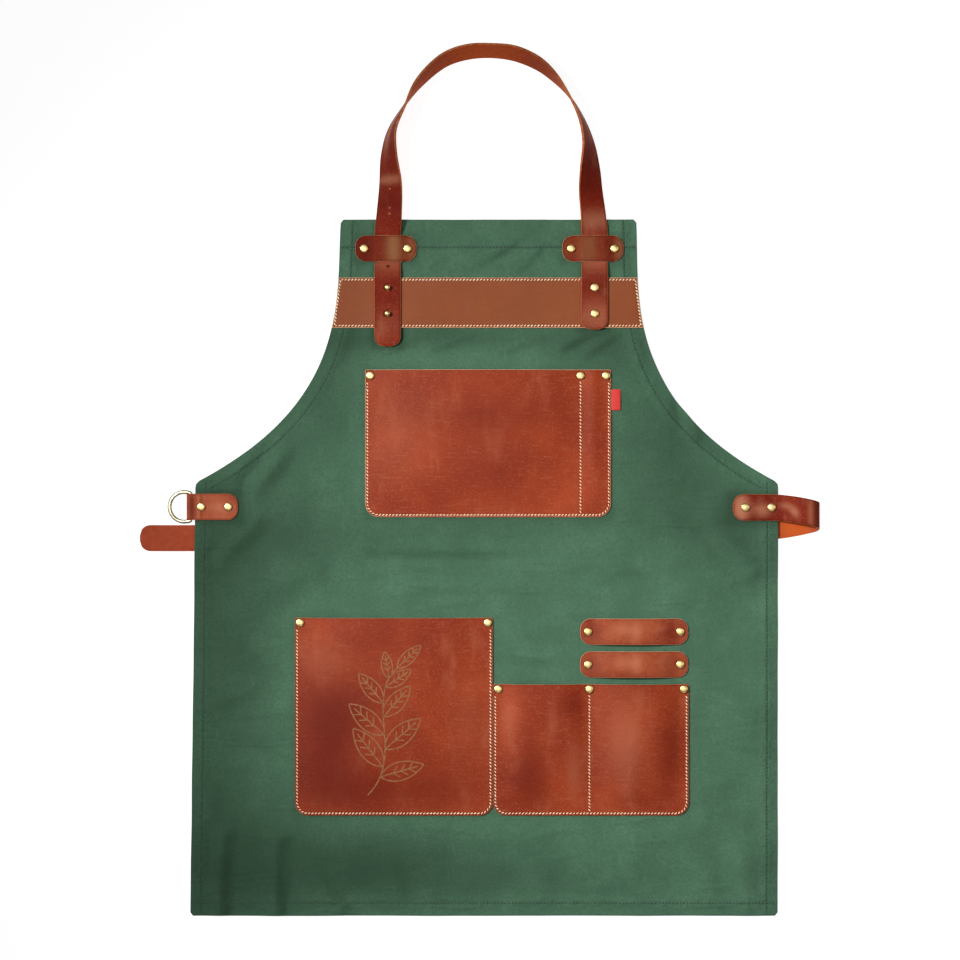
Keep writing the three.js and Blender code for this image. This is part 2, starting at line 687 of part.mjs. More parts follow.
// Keepers arch steeply over the strap, which passes between their rivets
{
  const reach = KEEPER.rivets / 2 - RIVET.cap - GAP;
  const middle = 0.5 + KEEPER.offset / (2 * reach);
  const half = (NECK.width / 2 + 2 * GAP) / (2 * reach);
  const table = [
    { at: 0, open: 0 }, { at: middle - half, open: 1 }, { at: middle + half, open: 1 }, { at: 1, open: 0 },
  ];
  for (const side of ["left", "right"]) {
    const centre = { x: neckX[side] - KEEPER.offset, y: keeperY };
    strip(`strap_keeper_${side}`, centre, KEEPER, NECK.thickness + GAP, table, CLOTH);
  }
}

// Chest pocket: one wide room and the pen slot
{
  const base = canvasTop(chest.top) + GAP;
  const divider = chest.right - CHEST.pen;
  const line = chest.top - 1.2 * RIVET.inset;
  const rooms = [
    { from: chest.left + SEAM, to: divider - RIVET.cap - 1, table: ACROSS },
    { from: divider + RIVET.cap + 1, to: chest.right - SEAM, table: SLOT },
  ];
  const rivets = [chest.left + RIVET.inset, divider, chest.right - RIVET.inset].map((x) => ({ x, y: line }));
  pocket("chest_pocket", chest, base, CHEST.bulge, CHEST.round, rooms, rivets);

  const top = chest.top - SIDE_TAB.drop;
  const [left, right] = [chest.right + GAP, chest.right + SIDE_TAB.width];
  const tab = extruded(roundedPlan(left, right, top - SIDE_TAB.height, top, 1, 1), SIDE_TAB.thickness, 2);
  tab.translate(0, 0, base);
  place("side_tab", tab, tabCloth);
}

// Lower left pocket
{
  const base = canvasTop(tool.top) + GAP;
  const rooms = [{ from: tool.left + SEAM + 1, to: tool.right - SEAM - 1, table: ACROSS }];
  const line = tool.top - RIVET.inset;
  const rivets = [tool.left + RIVET.inset, tool.right - RIVET.inset].map((x) => ({ x, y: line }));
  pocket("tool_pocket", tool, base, TOOL.bulge, TOOL.round, rooms, rivets);
}

// Lower right pocket with two rooms
{
  const base = canvasTop(double.top) + GAP;
  const divider = double.left + DOUBLE.share * DOUBLE.width;
  const rooms = [
    { from: double.left + SEAM + 1, to: divider - RIVET.cap - 2, table: ACROSS },
    { from: divider + RIVET.cap + 2, to: double.right - SEAM - 1, table: ACROSS },
  ];
  const line = double.top - RIVET.inset;
  const ends = [double.left + RIVET.inset, divider, double.right - RIVET.inset];
  const rivets = ends.map((x) => ({ x, y: line }));
  pocket("double_pocket", double, base, DOUBLE.bulge, DOUBLE.round, rooms, rivets);
}

// Tool loops
strip("tool_loop_lower", { x: loopX, y: loopBottoms[0] + LOOP.height / 2 }, LOOP, LOOP.bulge, ACROSS, 0);
strip("tool_loop_upper", { x: loopX, y: loopBottoms[1] + LOOP.height / 2 }, LOOP, LOOP.bulge, ACROSS, 0);

// Leather tab folded round the ring's bar, one layer on the canvas and one behind it
const barX = -skirtHalf - RING_TAB.overhang;
const back = raised - CLOTH - GAP - LEATHER;
const bend = { outer: RING.wire / 2 + GAP + LEATHER, inner: RING.wire / 2 + GAP };
{
  const front = raised + CLOTH + GAP;
  const far = -skirtHalf + RING_TAB.length - RING_TAB.overhang;
  const near = -skirtHalf + 2;
  const profile = new THREE.Shape();
  profile.moveTo(far, front + LEATHER);
  profile.lineTo(near, front + LEATHER);
  profile.lineTo(barX, 2 * bend.outer);
  profile.absarc(barX, bend.outer, bend.outer, Math.PI / 2, 1.5 * Math.PI, false);
  profile.lineTo(near, back);
  profile.lineTo(far, back);
  profile.lineTo(far, back + LEATHER);
  profile.lineTo(near, back + LEATHER);
  profile.lineTo(barX, bend.outer - bend.inner);
  profile.absarc(barX, bend.outer, bend.inner, 1.5 * Math.PI, Math.PI / 2, true);
  profile.lineTo(near, front);
  profile.lineTo(far, front);
  const body = extruded(profile, RING_TAB.height, 8);
  body.rotateX(Math.PI / 2);
  body.translate(0, ringY + RING_TAB.height / 2, 0);
  const plan = new THREE.Shape();
  const [bottom, top] = [ringY - RING_TAB.height / 2, ringY + RING_TAB.height / 2];
  plan.moveTo(barX - 2 * bend.outer, bottom);
  plan.lineTo(far - RING_TAB.round, bottom);
  plan.absarc(far - RING_TAB.round, bottom + RING_TAB.round, RING_TAB.round, -Math.PI / 2, 0, false);
  plan.absarc(far - RING_TAB.round, top - RING_TAB.round, RING_TAB.round, 0, Math.PI / 2, false);
  plan.lineTo(barX - 2 * bend.outer, top);
  const xs = [far - 2 * RIVET.inset, -skirtHalf + 1.5 * RIVET.inset];
  const holes = xs.map((x) => ({ x, y: ringY, radius: shankHole }));
  place("ring_tab", punch(trim(body, plan), holes), pocketLeather);
  xs.forEach((x, i) => rivet(`ring_tab_rivet_${i + 1}`, x, ringY, back, front + LEATHER));
  canvasHoles.push(...holes);
}

// Ring: a straight bar in the fold, two short arms and a half round bow that rests on the floor
{
  const radius = RING.wire / 2;
  const half = RING.width / 2 - radius;
  const reach = RING.depth - RING.wire;
  const rings = [];
  const path = [];
  const arm = reach - half;
  for (const share of [-1, -0.4, 0.4, 1]) {
    path.push(new THREE.Vector2(0, share * (half - RING.corner)));
  }
  path.push(new THREE.Vector2(-0.3 * RING.corner, half - 0.3 * RING.corner));
  const bow = 12;
  for (let i = 0; i <= bow; i += 1) {
    const angle = (Math.PI * i) / bow;
    path.push(new THREE.Vector2(-arm - half * Math.sin(angle), half * Math.cos(angle)));
  }
  path.push(new THREE.Vector2(-0.3 * RING.corner, 0.3 * RING.corner - half));
  const count = path.length;
  path.forEach((at, i) => {
    const before = path[(i + count - 1) % count];
    const after = path[(i + 1) % count];
    const ahead = after.clone().sub(before).normalize();
    const out = new THREE.Vector3(ahead.y, -ahead.x, 0);
    const ring = [];
    for (let k = 0; k < 8; k += 1) {
      const angle = (2 * Math.PI * k) / 8;
      const point = new THREE.Vector3(at.x, at.y, radius * Math.sin(angle));
      ring.push(point.addScaledVector(out, radius * Math.cos(angle)));
    }
    rings.push(ring);
  });
  const ring = place("d_ring", loft(rings, true), brass);
  ring.position.set(barX, ringY, bend.outer);
  ring.rotation.y = -Math.asin((bend.outer - radius) / reach);
}

// Waist strap with its two rivets
{
  const xs = [skirtHalf - 0.74 * WAIST.overlap, skirtHalf - 0.13 * WAIST.overlap];
  const holes = xs.map((x) => ({ x, y: waistRun, radius: shankHole }));
  place("waist_strap", punch(strap(waistStations(), WAIST, waistSide, 2), holes), strapLeather);
  const top = raised + CLOTH + GAP + WAIST.thickness;
  const folded = [0, CLOTH];
  xs.forEach((x, i) => rivet(`waist_rivet_${i + 1}`, x, waistRun, raised - folded[i], top));
  canvasHoles.push(...holes);
}

place("canvas_body", punch(canvasBody(), canvasHoles), canvasCloth);

// The origin is on the floor, under the middle of the whole apron
apron.updateMatrixWorld(true);
const extent = new THREE.Box3().setFromObject(apron);
apron.position.set(-(extent.min.x + extent.max.x) / 2, -(extent.min.y + extent.max.y) / 2, -extent.min.z);

export default apron;
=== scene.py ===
# %% [markdown]
# A gardening apron laid on its back, with its front to the camera.
# The real one is a sheet of waxed cotton canvas with leather pockets, tool loops and straps sewn and
# riveted to it. The frame gives each piece its place, and this script gives it its surface.
# Blender works in metres, so small sizes are written with mm(), and every place comes from the frame.

# %% Load the frame
import math

import bmesh
import bpy
import numpy as np
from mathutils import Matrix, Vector


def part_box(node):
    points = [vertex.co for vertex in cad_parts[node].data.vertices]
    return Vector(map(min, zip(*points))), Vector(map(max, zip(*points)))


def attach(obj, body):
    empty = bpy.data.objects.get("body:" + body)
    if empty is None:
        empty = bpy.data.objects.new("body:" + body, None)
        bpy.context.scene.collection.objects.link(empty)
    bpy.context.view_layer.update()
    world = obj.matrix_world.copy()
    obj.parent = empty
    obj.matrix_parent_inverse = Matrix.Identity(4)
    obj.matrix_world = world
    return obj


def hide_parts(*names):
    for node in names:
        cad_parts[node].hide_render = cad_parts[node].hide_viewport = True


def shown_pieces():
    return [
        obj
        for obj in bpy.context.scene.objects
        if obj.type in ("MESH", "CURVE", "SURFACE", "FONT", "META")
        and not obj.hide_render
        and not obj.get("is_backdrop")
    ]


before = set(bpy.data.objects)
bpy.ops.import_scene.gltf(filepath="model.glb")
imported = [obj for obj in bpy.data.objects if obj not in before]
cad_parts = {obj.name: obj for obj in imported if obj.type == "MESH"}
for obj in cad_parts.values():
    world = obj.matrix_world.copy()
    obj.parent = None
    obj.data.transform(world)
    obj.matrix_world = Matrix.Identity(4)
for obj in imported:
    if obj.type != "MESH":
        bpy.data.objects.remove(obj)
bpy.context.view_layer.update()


def mm(value):
    return value * 0.001


def plan(node):
    low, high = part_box(node)
    return (low.x, low.y, high.x, high.y)


def pick(obj=None):
    """Leave object mode's selection with this object alone, or with nothing."""
    if bpy.context.mode != "OBJECT":
        bpy.ops.object.mode_set(mode="OBJECT")
    bpy.ops.object.select_all(action="DESELECT")
    if obj:
        bpy.context.view_layer.objects.active = obj
        obj.select_set(True)


pick()

# %% [markdown]
# The photograph was taken from straight above, from far enough away that the edges hardly lean.
# An orthographic camera would show no lean at all, so a long lens at three metres is used: the pockets'
# sides lean as little as they do there, and the apron fills the frame as it does there.

# %% Camera
PHOTO_WIDTH = mm(1104)
LENS = 100
SENSOR = 36
ASIDE = mm(-4.6)
UP_FROM_HEM = mm(500.8)

canvas_low, canvas_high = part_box("canvas_body")
middle = (canvas_low.x + canvas_high.x) / 2
camera_data = bpy.data.cameras.new("camera")
camera_data.lens = LENS
camera_data.sensor_width = SENSOR
camera_data.clip_end = 50
camera = bpy.data.objects.new("camera", camera_data)
camera.location = (middle + ASIDE, canvas_low.y + UP_FROM_HEM, PHOTO_WIDTH * LENS / SENSOR)
bpy.context.scene.collection.objects.link(camera)
bpy.context.scene.camera = camera
print("camera", round(camera.location.z, 3), "m above the floor")

# %% [markdown]
# Studio light for a flat product picture is broad and soft, so that shadows stay small and pale.
# The cloth is brightest right of its middle and falls off to the lower left, so the main lamp is a
# soft spot aimed there from the left. A wide softbox overhead puts the gleam on brass and wax, and two
# weak ones fill the shadows. A white floor would still turn grey where the lamps fade, so it glows, as
# the light table under such pictures does.

# %% Lights, world and floor
def lamp(kind, name, place, target, power, **settings):
    data = bpy.data.lights.new(name, kind)
    data.energy = power
    for key, value in settings.items():
        setattr(data, key, value)
    light = bpy.data.objects.new(name, data)
    light.location = place
    light.rotation_euler = (Vector(target) - Vector(place)).to_track_quat("-Z", "Y").to_euler()
    bpy.context.scene.collection.objects.link(light)


SOFTBOXES = [
    ("softbox_above", (0.0, 0.05, 3.4), 1.7, 21),
    ("softbox_right", (2.0, 0.3, 1.7), 1.4, 8),
    ("softbox_hem", (0.5, -2.1, 1.7), 1.4, 4),
]
lamp("SPOT", "main_spot", (-1.3, 0.55, 1.95), (0.33, -0.2, 0), 300, spot_size=math.radians(40),
     spot_blend=1.0, shadow_soft_size=0.2)
for name, place, size, power in SOFTBOXES:
    lamp("AREA", name, place, (0, 0, 0), power, shape="SQUARE", size=size)

world = bpy.data.worlds.new("studio")
world.use_nodes = True
world.node_tree.nodes["Background"].inputs["Color"].default_value = (1, 1, 1, 1)
world.node_tree.nodes["Background"].inputs["Strength"].default_value = 0.1
bpy.context.scene.world = world
bpy.context.scene.view_settings.view_transform = "Standard"

bpy.ops.mesh.primitive_plane_add(size=30, location=(0, 0, 0))
floor = bpy.context.object
floor.name = "floor"
floor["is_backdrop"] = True

# %% [markdown]
# Materials are node trees. Colours are picked as they look on a screen, so one function turns the
# hex value into the linear light that a shader adds up. One more adds a node, with its settings and
# with each input as a plain value or as the output of another node.
# Every finish here is made in the same three steps: noises of a real size and the marks that the mesh
# carries, colours laid over each other where such a mark rises, and a relief that adds them up.

# %% Colour and node helpers
def linear(hex_colour):
    parts = [int(hex_colour[i:i + 2], 16) / 255 for i in (1, 3, 5)]
    curve = [p / 12.92 if p <= 0.04045 else ((p + 0.055) / 1.055) ** 2.4 for p in parts]
    return (*curve, 1)


def plug(tree, node, inputs):
    for key, value in (inputs.items() if isinstance(inputs, dict) else enumerate(inputs)):
        if isinstance(value, bpy.types.NodeSocket):
            tree.links.new(value, node.inputs[key])
        else:
            node.inputs[key].default_value = value


def add(tree, kind, inputs=(), **settings):
    made = tree.nodes.new(kind)
    for name, value in settings.items():
        setattr(made, name, value)
    plug(tree, made, inputs)
    return made


def new_material(name):
    material = bpy.data.materials.new(name)
    material.use_nodes = True
    return material, material.node_tree, material.node_tree.nodes["Principled BSDF"]


def marks(tree, noises, carried=()):
    """Noises by size in mm, detail and roughness, some turned and drawn out, and what the mesh carries."""
    where = add(tree, "ShaderNodeTexCoord").outputs["Object"]
    found = {"where": where}
    for name, (size, detail, rough, *drawn) in noises.items():
        turn, across, along = drawn or (0, 1, 1)
        at = add(tree, "ShaderNodeMapping", {
            "Vector": where, "Rotation": (0, 0, turn), "Scale": (across, along, 1)}).outputs[0]
        found[name] = add(tree, "ShaderNodeTexNoise", {
            "Vector": at, "Scale": 1 / mm(size), "Detail": detail, "Roughness": rough}).outputs["Fac"]
    for name in carried:
        found[name] = add(tree, "ShaderNodeAttribute", attribute_name=name).outputs["Fac"]
    return found


def over(tree, colour, mark, low, high, top, strength=1.0, ease="SMOOTHSTEP"):
    """Lay a colour over another, more of it as the mark goes from low to high."""
    share = add(tree, "ShaderNodeMapRange", (mark, low, high, 0.0, strength), interpolation_type=ease)
    return add(tree, "ShaderNodeMix", {
        "Factor": share.outputs[0], 6: colour, 7: linear(top)}, data_type="RGBA").outputs[2]


def layered(tree, mark, stops, layers=()):
    """Grade from one stop's colour to the next along a mark, then lay the other layers over it."""
    colour = linear(stops[0][1])
    for (low, _), (high, tone) in zip(stops, stops[1:]):
        colour = over(tree, colour, mark, low, high, tone, ease="LINEAR")
    for layer in layers:
        colour = over(tree, colour, *layer)
    return colour


def relief(tree, strength, depth, heights):
    total = 0.0
    for mark, height in heights:
        total = add(tree, "ShaderNodeMath", (mark, height, total), operation="MULTIPLY_ADD").outputs[0]
    return add(tree, "ShaderNodeBump", {
        "Height": total, "Strength": strength, "Distance": depth}).outputs["Normal"]


print("helpers ready:", linear("#808080")[0])

# %% [markdown]
# Canvas: dyed cotton twill with a dry wax finish, woven from plied yarn. It is matt, a little uneven
# in colour where the wax lies thicker, and its diagonal ribs catch the light.
# The real ribs are 0.9 mm apart, which a picture of the whole apron can't show, so they are drawn
# nearly three times as far apart. The mesh carries the distance to the nearest hem stitches, for the
# puckers beside them and for a painted shade along their groove, and a tone of painted shade.

# %% Canvas material
RIB = mm(1.8)  # of straight bands; diagonal ones lie 1.4 times as far apart
WAVE = 3.2  # how many straight bands a wave texture of scale 1 draws in one unit


def canvas_material():
    material, tree, shader = new_material("waxed_cotton_twill")
    found = marks(tree, {
        "yarn": (3, 4, 0.75), "slubs": (3.5, 3, 0.6, 0, 1, 0.16), "patches": (38, 4, 0.62),
        "shade": (210, 2, 0.4), "pucker": (7, 2, 0.5)}, ["tone", "seam"])
    ribs = add(tree, "ShaderNodeTexWave", {
        "Vector": found["where"], "Scale": 1 / RIB / WAVE, "Distortion": 2.4, "Detail": 2,
        "Detail Scale": 1.5}, wave_type="BANDS", bands_direction="DIAGONAL").outputs["Fac"]
    crumple = add(tree, "ShaderNodeTexNoise", {
        "Vector": add(tree, "ShaderNodeMapping", {
            "Vector": found["where"], "Rotation": (0, 0, 0.55), "Scale": (0.45, 1.5, 1)}).outputs[0],
        "Scale": 1 / mm(26), "Detail": 4, "Roughness": 0.5, "Distortion": 0.7},
        noise_type="RIDGED_MULTIFRACTAL").outputs["Fac"]
    # The tone attribute darkens the cloth as painted shade, and the seam distance paints a shade along the
    # hem stitches' groove.
    colour = layered(tree, found["patches"], [(0.3, "#40624b"), (0.5, "#466a51"), (0.72, "#4f735a")], [
        (found["yarn"], 0.35, 0.75, "#355540", 0.8), (ribs, 0.3, 0.8, "#2f4c39", 0.16),
        (found["slubs"], 0.55, 0.8, "#63896f", 0.2), (found["shade"], 0.35, 0.65, "#3a5c45", 0.22),
        (found["tone"], 0.0, 1.0, "#15301c", 0.75), (found["seam"], mm(3.6), 0.0, "#2d4a3b", 0.34)])
    beside_seam = add(tree, "ShaderNodeMapRange", (found["seam"], mm(1), mm(11), 1.0, 0.0),
                      interpolation_type="SMOOTHSTEP").outputs[0]
    gathered = add(tree, "ShaderNodeMath", (found["pucker"], beside_seam), operation="MULTIPLY").outputs[0]
    groove = add(tree, "ShaderNodeMapRange", (found["seam"], 0.0, mm(2.2), 0.0, 1.0),
                 interpolation_type="SMOOTHSTEP").outputs[0]
    plug(tree, shader, {
        "Base Color": colour, "Roughness": 0.82, "Specular IOR Level": 0.3, "Sheen Weight": 0.08,
        "Sheen Roughness": 0.5,
        "Normal": relief(tree, 0.75, mm(1), [
            (ribs, 0.05), (found["yarn"], 0.28), (found["patches"], 1.4), (gathered, 2.6), (groove, 0.8),
            (crumple, 2.2)])})
    return material


CANVAS = canvas_material()
print("material", CANVAS.name)

# %% [markdown]
# Leather: vegetable tanned cowhide, filled with oil and wax so that it pulls up paler where it bends.
# It has soft clouds a few centimetres wide, a pore grain of about a millimetre and a half, and scuffs.
# Each panel carries the distance to its edge, which is rubbed and darkened by the maker's creaser, the
# stitch lines, painted darker as shade in their groove, and tables of painted shade and painted sheen.
# Drawn-out streaks are painted sheen too. Each leather has four colours, from dark to the palest, which
# gives both its pale specks and its painted sheen.

# %% Leather material
PORES = mm(1.5)
SHADE_RED = "#5e1206"


def leather_material(name, tones, cloud, gloss=0.5, shine=0.22, speck=0.33):
    dark, middling, light, bloom_and_sheen = tones
    material, tree, shader = new_material(name)
    found = marks(tree, {
        "clouds": (cloud, 3, 0.5), "sheen_streaks": (cloud * 0.55, 4, 0.6, 0.5, 1.6, 0.6), "mottle": (9, 4, 0.65),
        "fine": (2.2, 3, 0.6), "scuffs": (2.6, 4, 0.7, 0, 0.12, 1)}, ["stitched", "tone", "bloom_and_sheen", "inset"])
    # Painted shade: the stitched attribute and the tone attribute darken towards the deep red. Painted sheen:
    # the drawn-out streaks and the bloom attribute lighten towards the palest colour, which also gives pale
    # specks of wear.
    colour = layered(tree, found["clouds"], [(0.25, dark), (0.5, middling), (0.75, light)], [
        (found["sheen_streaks"], 0.5, 0.76, bloom_and_sheen, 0.28), (found["mottle"], 0.45, 0.72, dark, 0.24),
        (found["scuffs"], 0.52, 0.78, bloom_and_sheen, speck), (found["fine"], 0.5, 0.75, bloom_and_sheen, speck),
        (found["stitched"], 0.1, 1.0, SHADE_RED, 0.5), (found["tone"], 0.0, 1.0, SHADE_RED, 0.9),
        (found["bloom_and_sheen"], 0.0, 1.0, bloom_and_sheen, 0.9), (found["inset"], mm(3.4), mm(0.4), dark, 0.5)])
    cells = add(tree, "ShaderNodeTexVoronoi", {
        "Vector": found["where"], "Scale": 1 / PORES, "Randomness": 1.0}, feature="DISTANCE_TO_EDGE")
    grain = add(tree, "ShaderNodeMapRange", (cells.outputs["Distance"], 0.0, 0.12, 0.0, 1.0),
                interpolation_type="SMOOTHSTEP").outputs[0]
    rough = add(tree, "ShaderNodeMapRange", (found["sheen_streaks"], 0.3, 0.7, gloss - 0.08, gloss + 0.12),
                interpolation_type="SMOOTHSTEP").outputs[0]
    plug(tree, shader, {
        "Base Color": colour, "Roughness": rough, "Specular IOR Level": shine,
        "Normal": relief(tree, 0.55, mm(0.7), [
            (grain, 0.07), (found["fine"], 0.16), (found["mottle"], 0.5), (found["scuffs"], 0.12)])})
    return material


POCKET_LEATHER = leather_material(
    "pull_up_cowhide", ["#78250f", "#8a3214", "#993c1b", "#ad644a"], 70, shine=0.12)
BAND_LEATHER = leather_material(
    "matt_cowhide", ["#7b3c1a", "#81401d", "#874522", "#8d4f2c"], 80, gloss=0.58)
LOOP_LEATHER = leather_material(
    "bridle_cowhide", ["#7c2c14", "#954324", "#a45434", "#b96f50"], 34, shine=0.13)
STRAP_LEATHER = leather_material(
    "dark_bridle_cowhide", ["#5c1105", "#701c0b", "#822a13", "#b17457"], 42, 0.56, 0.05, 0.16)
# The keepers' leather is close to the strap's, its palest colour olive-brown for their painted sheen.
KEEPER_LEATHER = leather_material(
    "bridle_cowhide_olive_sheen", ["#5a1408", "#6c210f", "#7c2f18", "#8f6440"], 42, 0.56, 0.05, 0.16)
print("leathers", [m.name for m in bpy.data.materials if "cowhide" in m.name])

# %% [markdown]
# Where leather is cut, the dye stops and pale fibre shows, sealed with gum: a thin tan line.
# A strap's edge is rubbed darker with wax. Its back is the flesh side, dyed once and brighter, with a
# short nap, which on the waist strap is pasted smooth. A branded line is scorched into the grain side.

# %% Raw leather materials
def fibre_material(name, tones, size, rough):
    material, tree, shader = new_material(name)
    found = marks(tree, {"fibres": (size, 4, 0.7)}, ["tone", "bloom_and_sheen"])
    # The strap's tone and bloom attributes paint shade and sheen on these faces too.
    colour = layered(tree, found["fibres"], [(0.35, tones[0]), (0.65, tones[1])], [
        (found["tone"], 0.0, 1.0, "#5a1c06", 0.8), (found["bloom_and_sheen"], 0.0, 1.0, "#c85a1e", 0.8)])
    plug(tree, shader, {
        "Base Color": colour, "Roughness": rough, "Specular IOR Level": 0.12,
        "Normal": relief(tree, 0.5, mm(0.4), [(found["fibres"], 1.0)])})
    return material


CUT_EDGE = fibre_material("gummed_leather_edge", ["#c98a62", "#eabf98"], 2.5, 0.6)
FLESH_SIDE = fibre_material("leather_flesh_side", ["#a03a08", "#b0480c"], 5, 0.75)
STRAP_EDGE = fibre_material("burnished_strap_edge", ["#a44c22", "#c67c4c"], 4, 0.6)
SMOOTH_FLESH = fibre_material("pasted_flesh_side", ["#953a21", "#9f4529"], 6, 0.7)
BRANDED = fibre_material("branded_leather_line", ["#7a4a2e", "#966744"], 3, 0.75)
print("cut edge, flesh side and branded line ready")

# %% [markdown]
# Thread is waxed polyester, plied from strands, so each stitch has fine slanting ridges. Brass is
# lacquered and bright, with faint handling marks in its gloss. Its colour is darkened as painted shade
# round the rims of the rivets and along the flanks of the ring. The tab is a woven tape.

# %% Thread, brass and tape materials
def thread_material(name, tones):
    material, tree, shader = new_material(name)
    found = marks(tree, {"dye": (4, 3, 0.6)})
    plies = add(tree, "ShaderNodeTexWave", {
        "Vector": found["where"], "Scale": 1 / mm(0.5) / WAVE, "Distortion": 1.0}, bands_direction="DIAGONAL")
    plug(tree, shader, {
        "Base Color": layered(tree, found["dye"], [(0.35, tones[0]), (0.65, tones[1])]), "Roughness": 0.5,
        "Normal": relief(tree, 0.6, mm(0.15), [(plies.outputs["Fac"], 1.0)])})
    return material


def brass_material(name, tones, gloss, rim_shade):
    material, tree, shader = new_material(name)
    found = marks(tree, {"handled": (5, 2, 0.5)}, ["rim"])
    # The rim mark paints shade towards the edge of a rivet cap and on the flanks of the ring.
    colour = layered(tree, found["handled"], [(0.35, tones[0]), (0.7, tones[1])], [
        (found["rim"], 0.72, 1.0, tones[2], rim_shade)])
    rough = add(tree, "ShaderNodeMapRange", (found["handled"], 0.3, 0.7, gloss, gloss + 0.06),
                interpolation_type="SMOOTHSTEP").outputs[0]
    plug(tree, shader, {"Base Color": colour, "Metallic": 1.0, "Roughness": rough})
    return material


def tape_material():
    material, tree, shader = new_material("woven_red_tape")
    weft = add(tree, "ShaderNodeTexWave", {
        "Vector": marks(tree, {})["where"], "Scale": 1 / mm(0.9) / WAVE, "Distortion": 0.4},
        bands_direction="Y").outputs["Fac"]
    plug(tree, shader, {
        "Base Color": over(tree, linear("#c42b23"), weft, 0.2, 0.9, "#d63d33", 0.5), "Roughness": 0.7,
        "Normal": relief(tree, 0.5, mm(0.2), [(weft, 1.0)])})
    return material


def floor_material():
    material, tree, shader = new_material("light_table")
    plug(tree, shader, {
        "Base Color": linear("#a0a0a0"), "Roughness": 0.9, "Specular IOR Level": 0.1,
        "Emission Color": linear("#ffffff"), "Emission Strength": 0.86})
    return material


CREAM_THREAD = thread_material("waxed_cream_thread", ["#f8c595", "#ffebcb"])
GREEN_THREAD = thread_material("waxed_green_thread", ["#0e1d14", "#1b3424"])
BRASS = brass_material("lacquered_brass", ["#f6cf85", "#ffe2a2", "#8a5a26"], 0.33, 0.6)
WIRE_BRASS = brass_material("drawn_brass_wire", ["#e6d8ae", "#f6ecca", "#3a3018"], 0.32, 0.95)
TAPE = tape_material()
floor.data.materials.append(floor_material())
print("materials in all:", len(bpy.data.materials))

# %% [markdown]
# The canvas is one sheet cut with a straight hem and sides and two long armhole curves.
# Its outline is written as a half width for each height, the armhole as one cubic curve, so any row
# of the cloth can be stretched to it. Cutting the curve from a plane would leave ragged faces there.
# The apron lies a little aslant, its bib towards the right.

# %% Outline of the canvas
def bezier(p0, p1, p2, p3, count):
    t = np.linspace(0, 1, count)[:, None]
    p0, p1, p2, p3 = (np.asarray(p, float) for p in (p0, p1, p2, p3))
    return (1 - t) ** 3 * p0 + 3 * (1 - t) ** 2 * t * p1 + 3 * (1 - t) * t ** 2 * p2 + t ** 3 * p3


WAIST_HEIGHT = mm(497)
SKIRT_HALF = mm(334.5)
BIB_HALF = mm(169.5)
ASLANT = mm(5.1)
FLARE = mm(3)
CORNER = mm(6)
CORNER_IN = 0.43 * CORNER
TIP = mm(3)

hem_y = canvas_low.y
bib_y = canvas_high.y
waist_y = hem_y + WAIST_HEIGHT
bib_height = bib_y - waist_y
corner_top = waist_y + CORNER / 3
swing = SKIRT_HALF - BIB_HALF
armhole = bezier(
    (BIB_HALF, bib_y), (BIB_HALF + 0.037 * swing, bib_y - 0.274 * bib_height),
    (BIB_HALF - 0.109 * swing, waist_y + 0.319 * bib_height), (SKIRT_HALF - CORNER_IN, corner_top), 400)


def tip_cut(y):
    into = np.clip(np.maximum(hem_y + TIP - y, y - bib_y + TIP) / TIP, 0, 1)
    return TIP * (1 - np.sqrt(1 - into ** 2))


def half_width(y):
    """Half of the cloth's width at each height: straight sides, the rounded corner, the armhole."""
    side = SKIRT_HALF + FLARE * (1 - (y - hem_y) / WAIST_HEIGHT)
    rounding = CORNER_IN * np.clip((y - corner_top + CORNER) / CORNER, 0, 1) ** 2
    on_armhole = np.interp(y, armhole[::-1, 1], armhole[::-1, 0])
    return np.where(y > corner_top, on_armhole, side - rounding) - tip_cut(y)


def middle_at(y):
    return middle + ASLANT * (y - hem_y) / (bib_y - hem_y)


print("canvas", round(2 * float(half_width(hem_y)), 3), "by", round(bib_y - hem_y, 3))

# %% [markdown]
# The cloth lies on its folded hem, over the rivets' back plates and over the waist strap, and keeps
# the creases of its packing. A cloth simulation could settle it, but not with these creases and not
# the same each time. The height of its face is one function of the place instead, so whatever is sewn
# or riveted on can ask it where the cloth is.

# %% How the canvas lies
GAP = mm(0.3)
CLOTH = mm(1.2)
HEM_FOOT = mm(14.5)
HEM_SIDE = mm(12.5)
HEM_ARMHOLE = mm(14.5)
HEM_TOP = mm(32)

tool_low, tool_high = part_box("tool_pocket")
chest_low, chest_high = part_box("chest_pocket")
band_low, band_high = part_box("bib_band")
tab_low, tab_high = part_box("ring_tab")
waist_low, waist_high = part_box("waist_strap")
skirt_top = tool_low.z - GAP
strap_top = chest_low.z - GAP
bib_top = band_low.z - GAP
hem_top = canvas_low.z + 2 * CLOTH

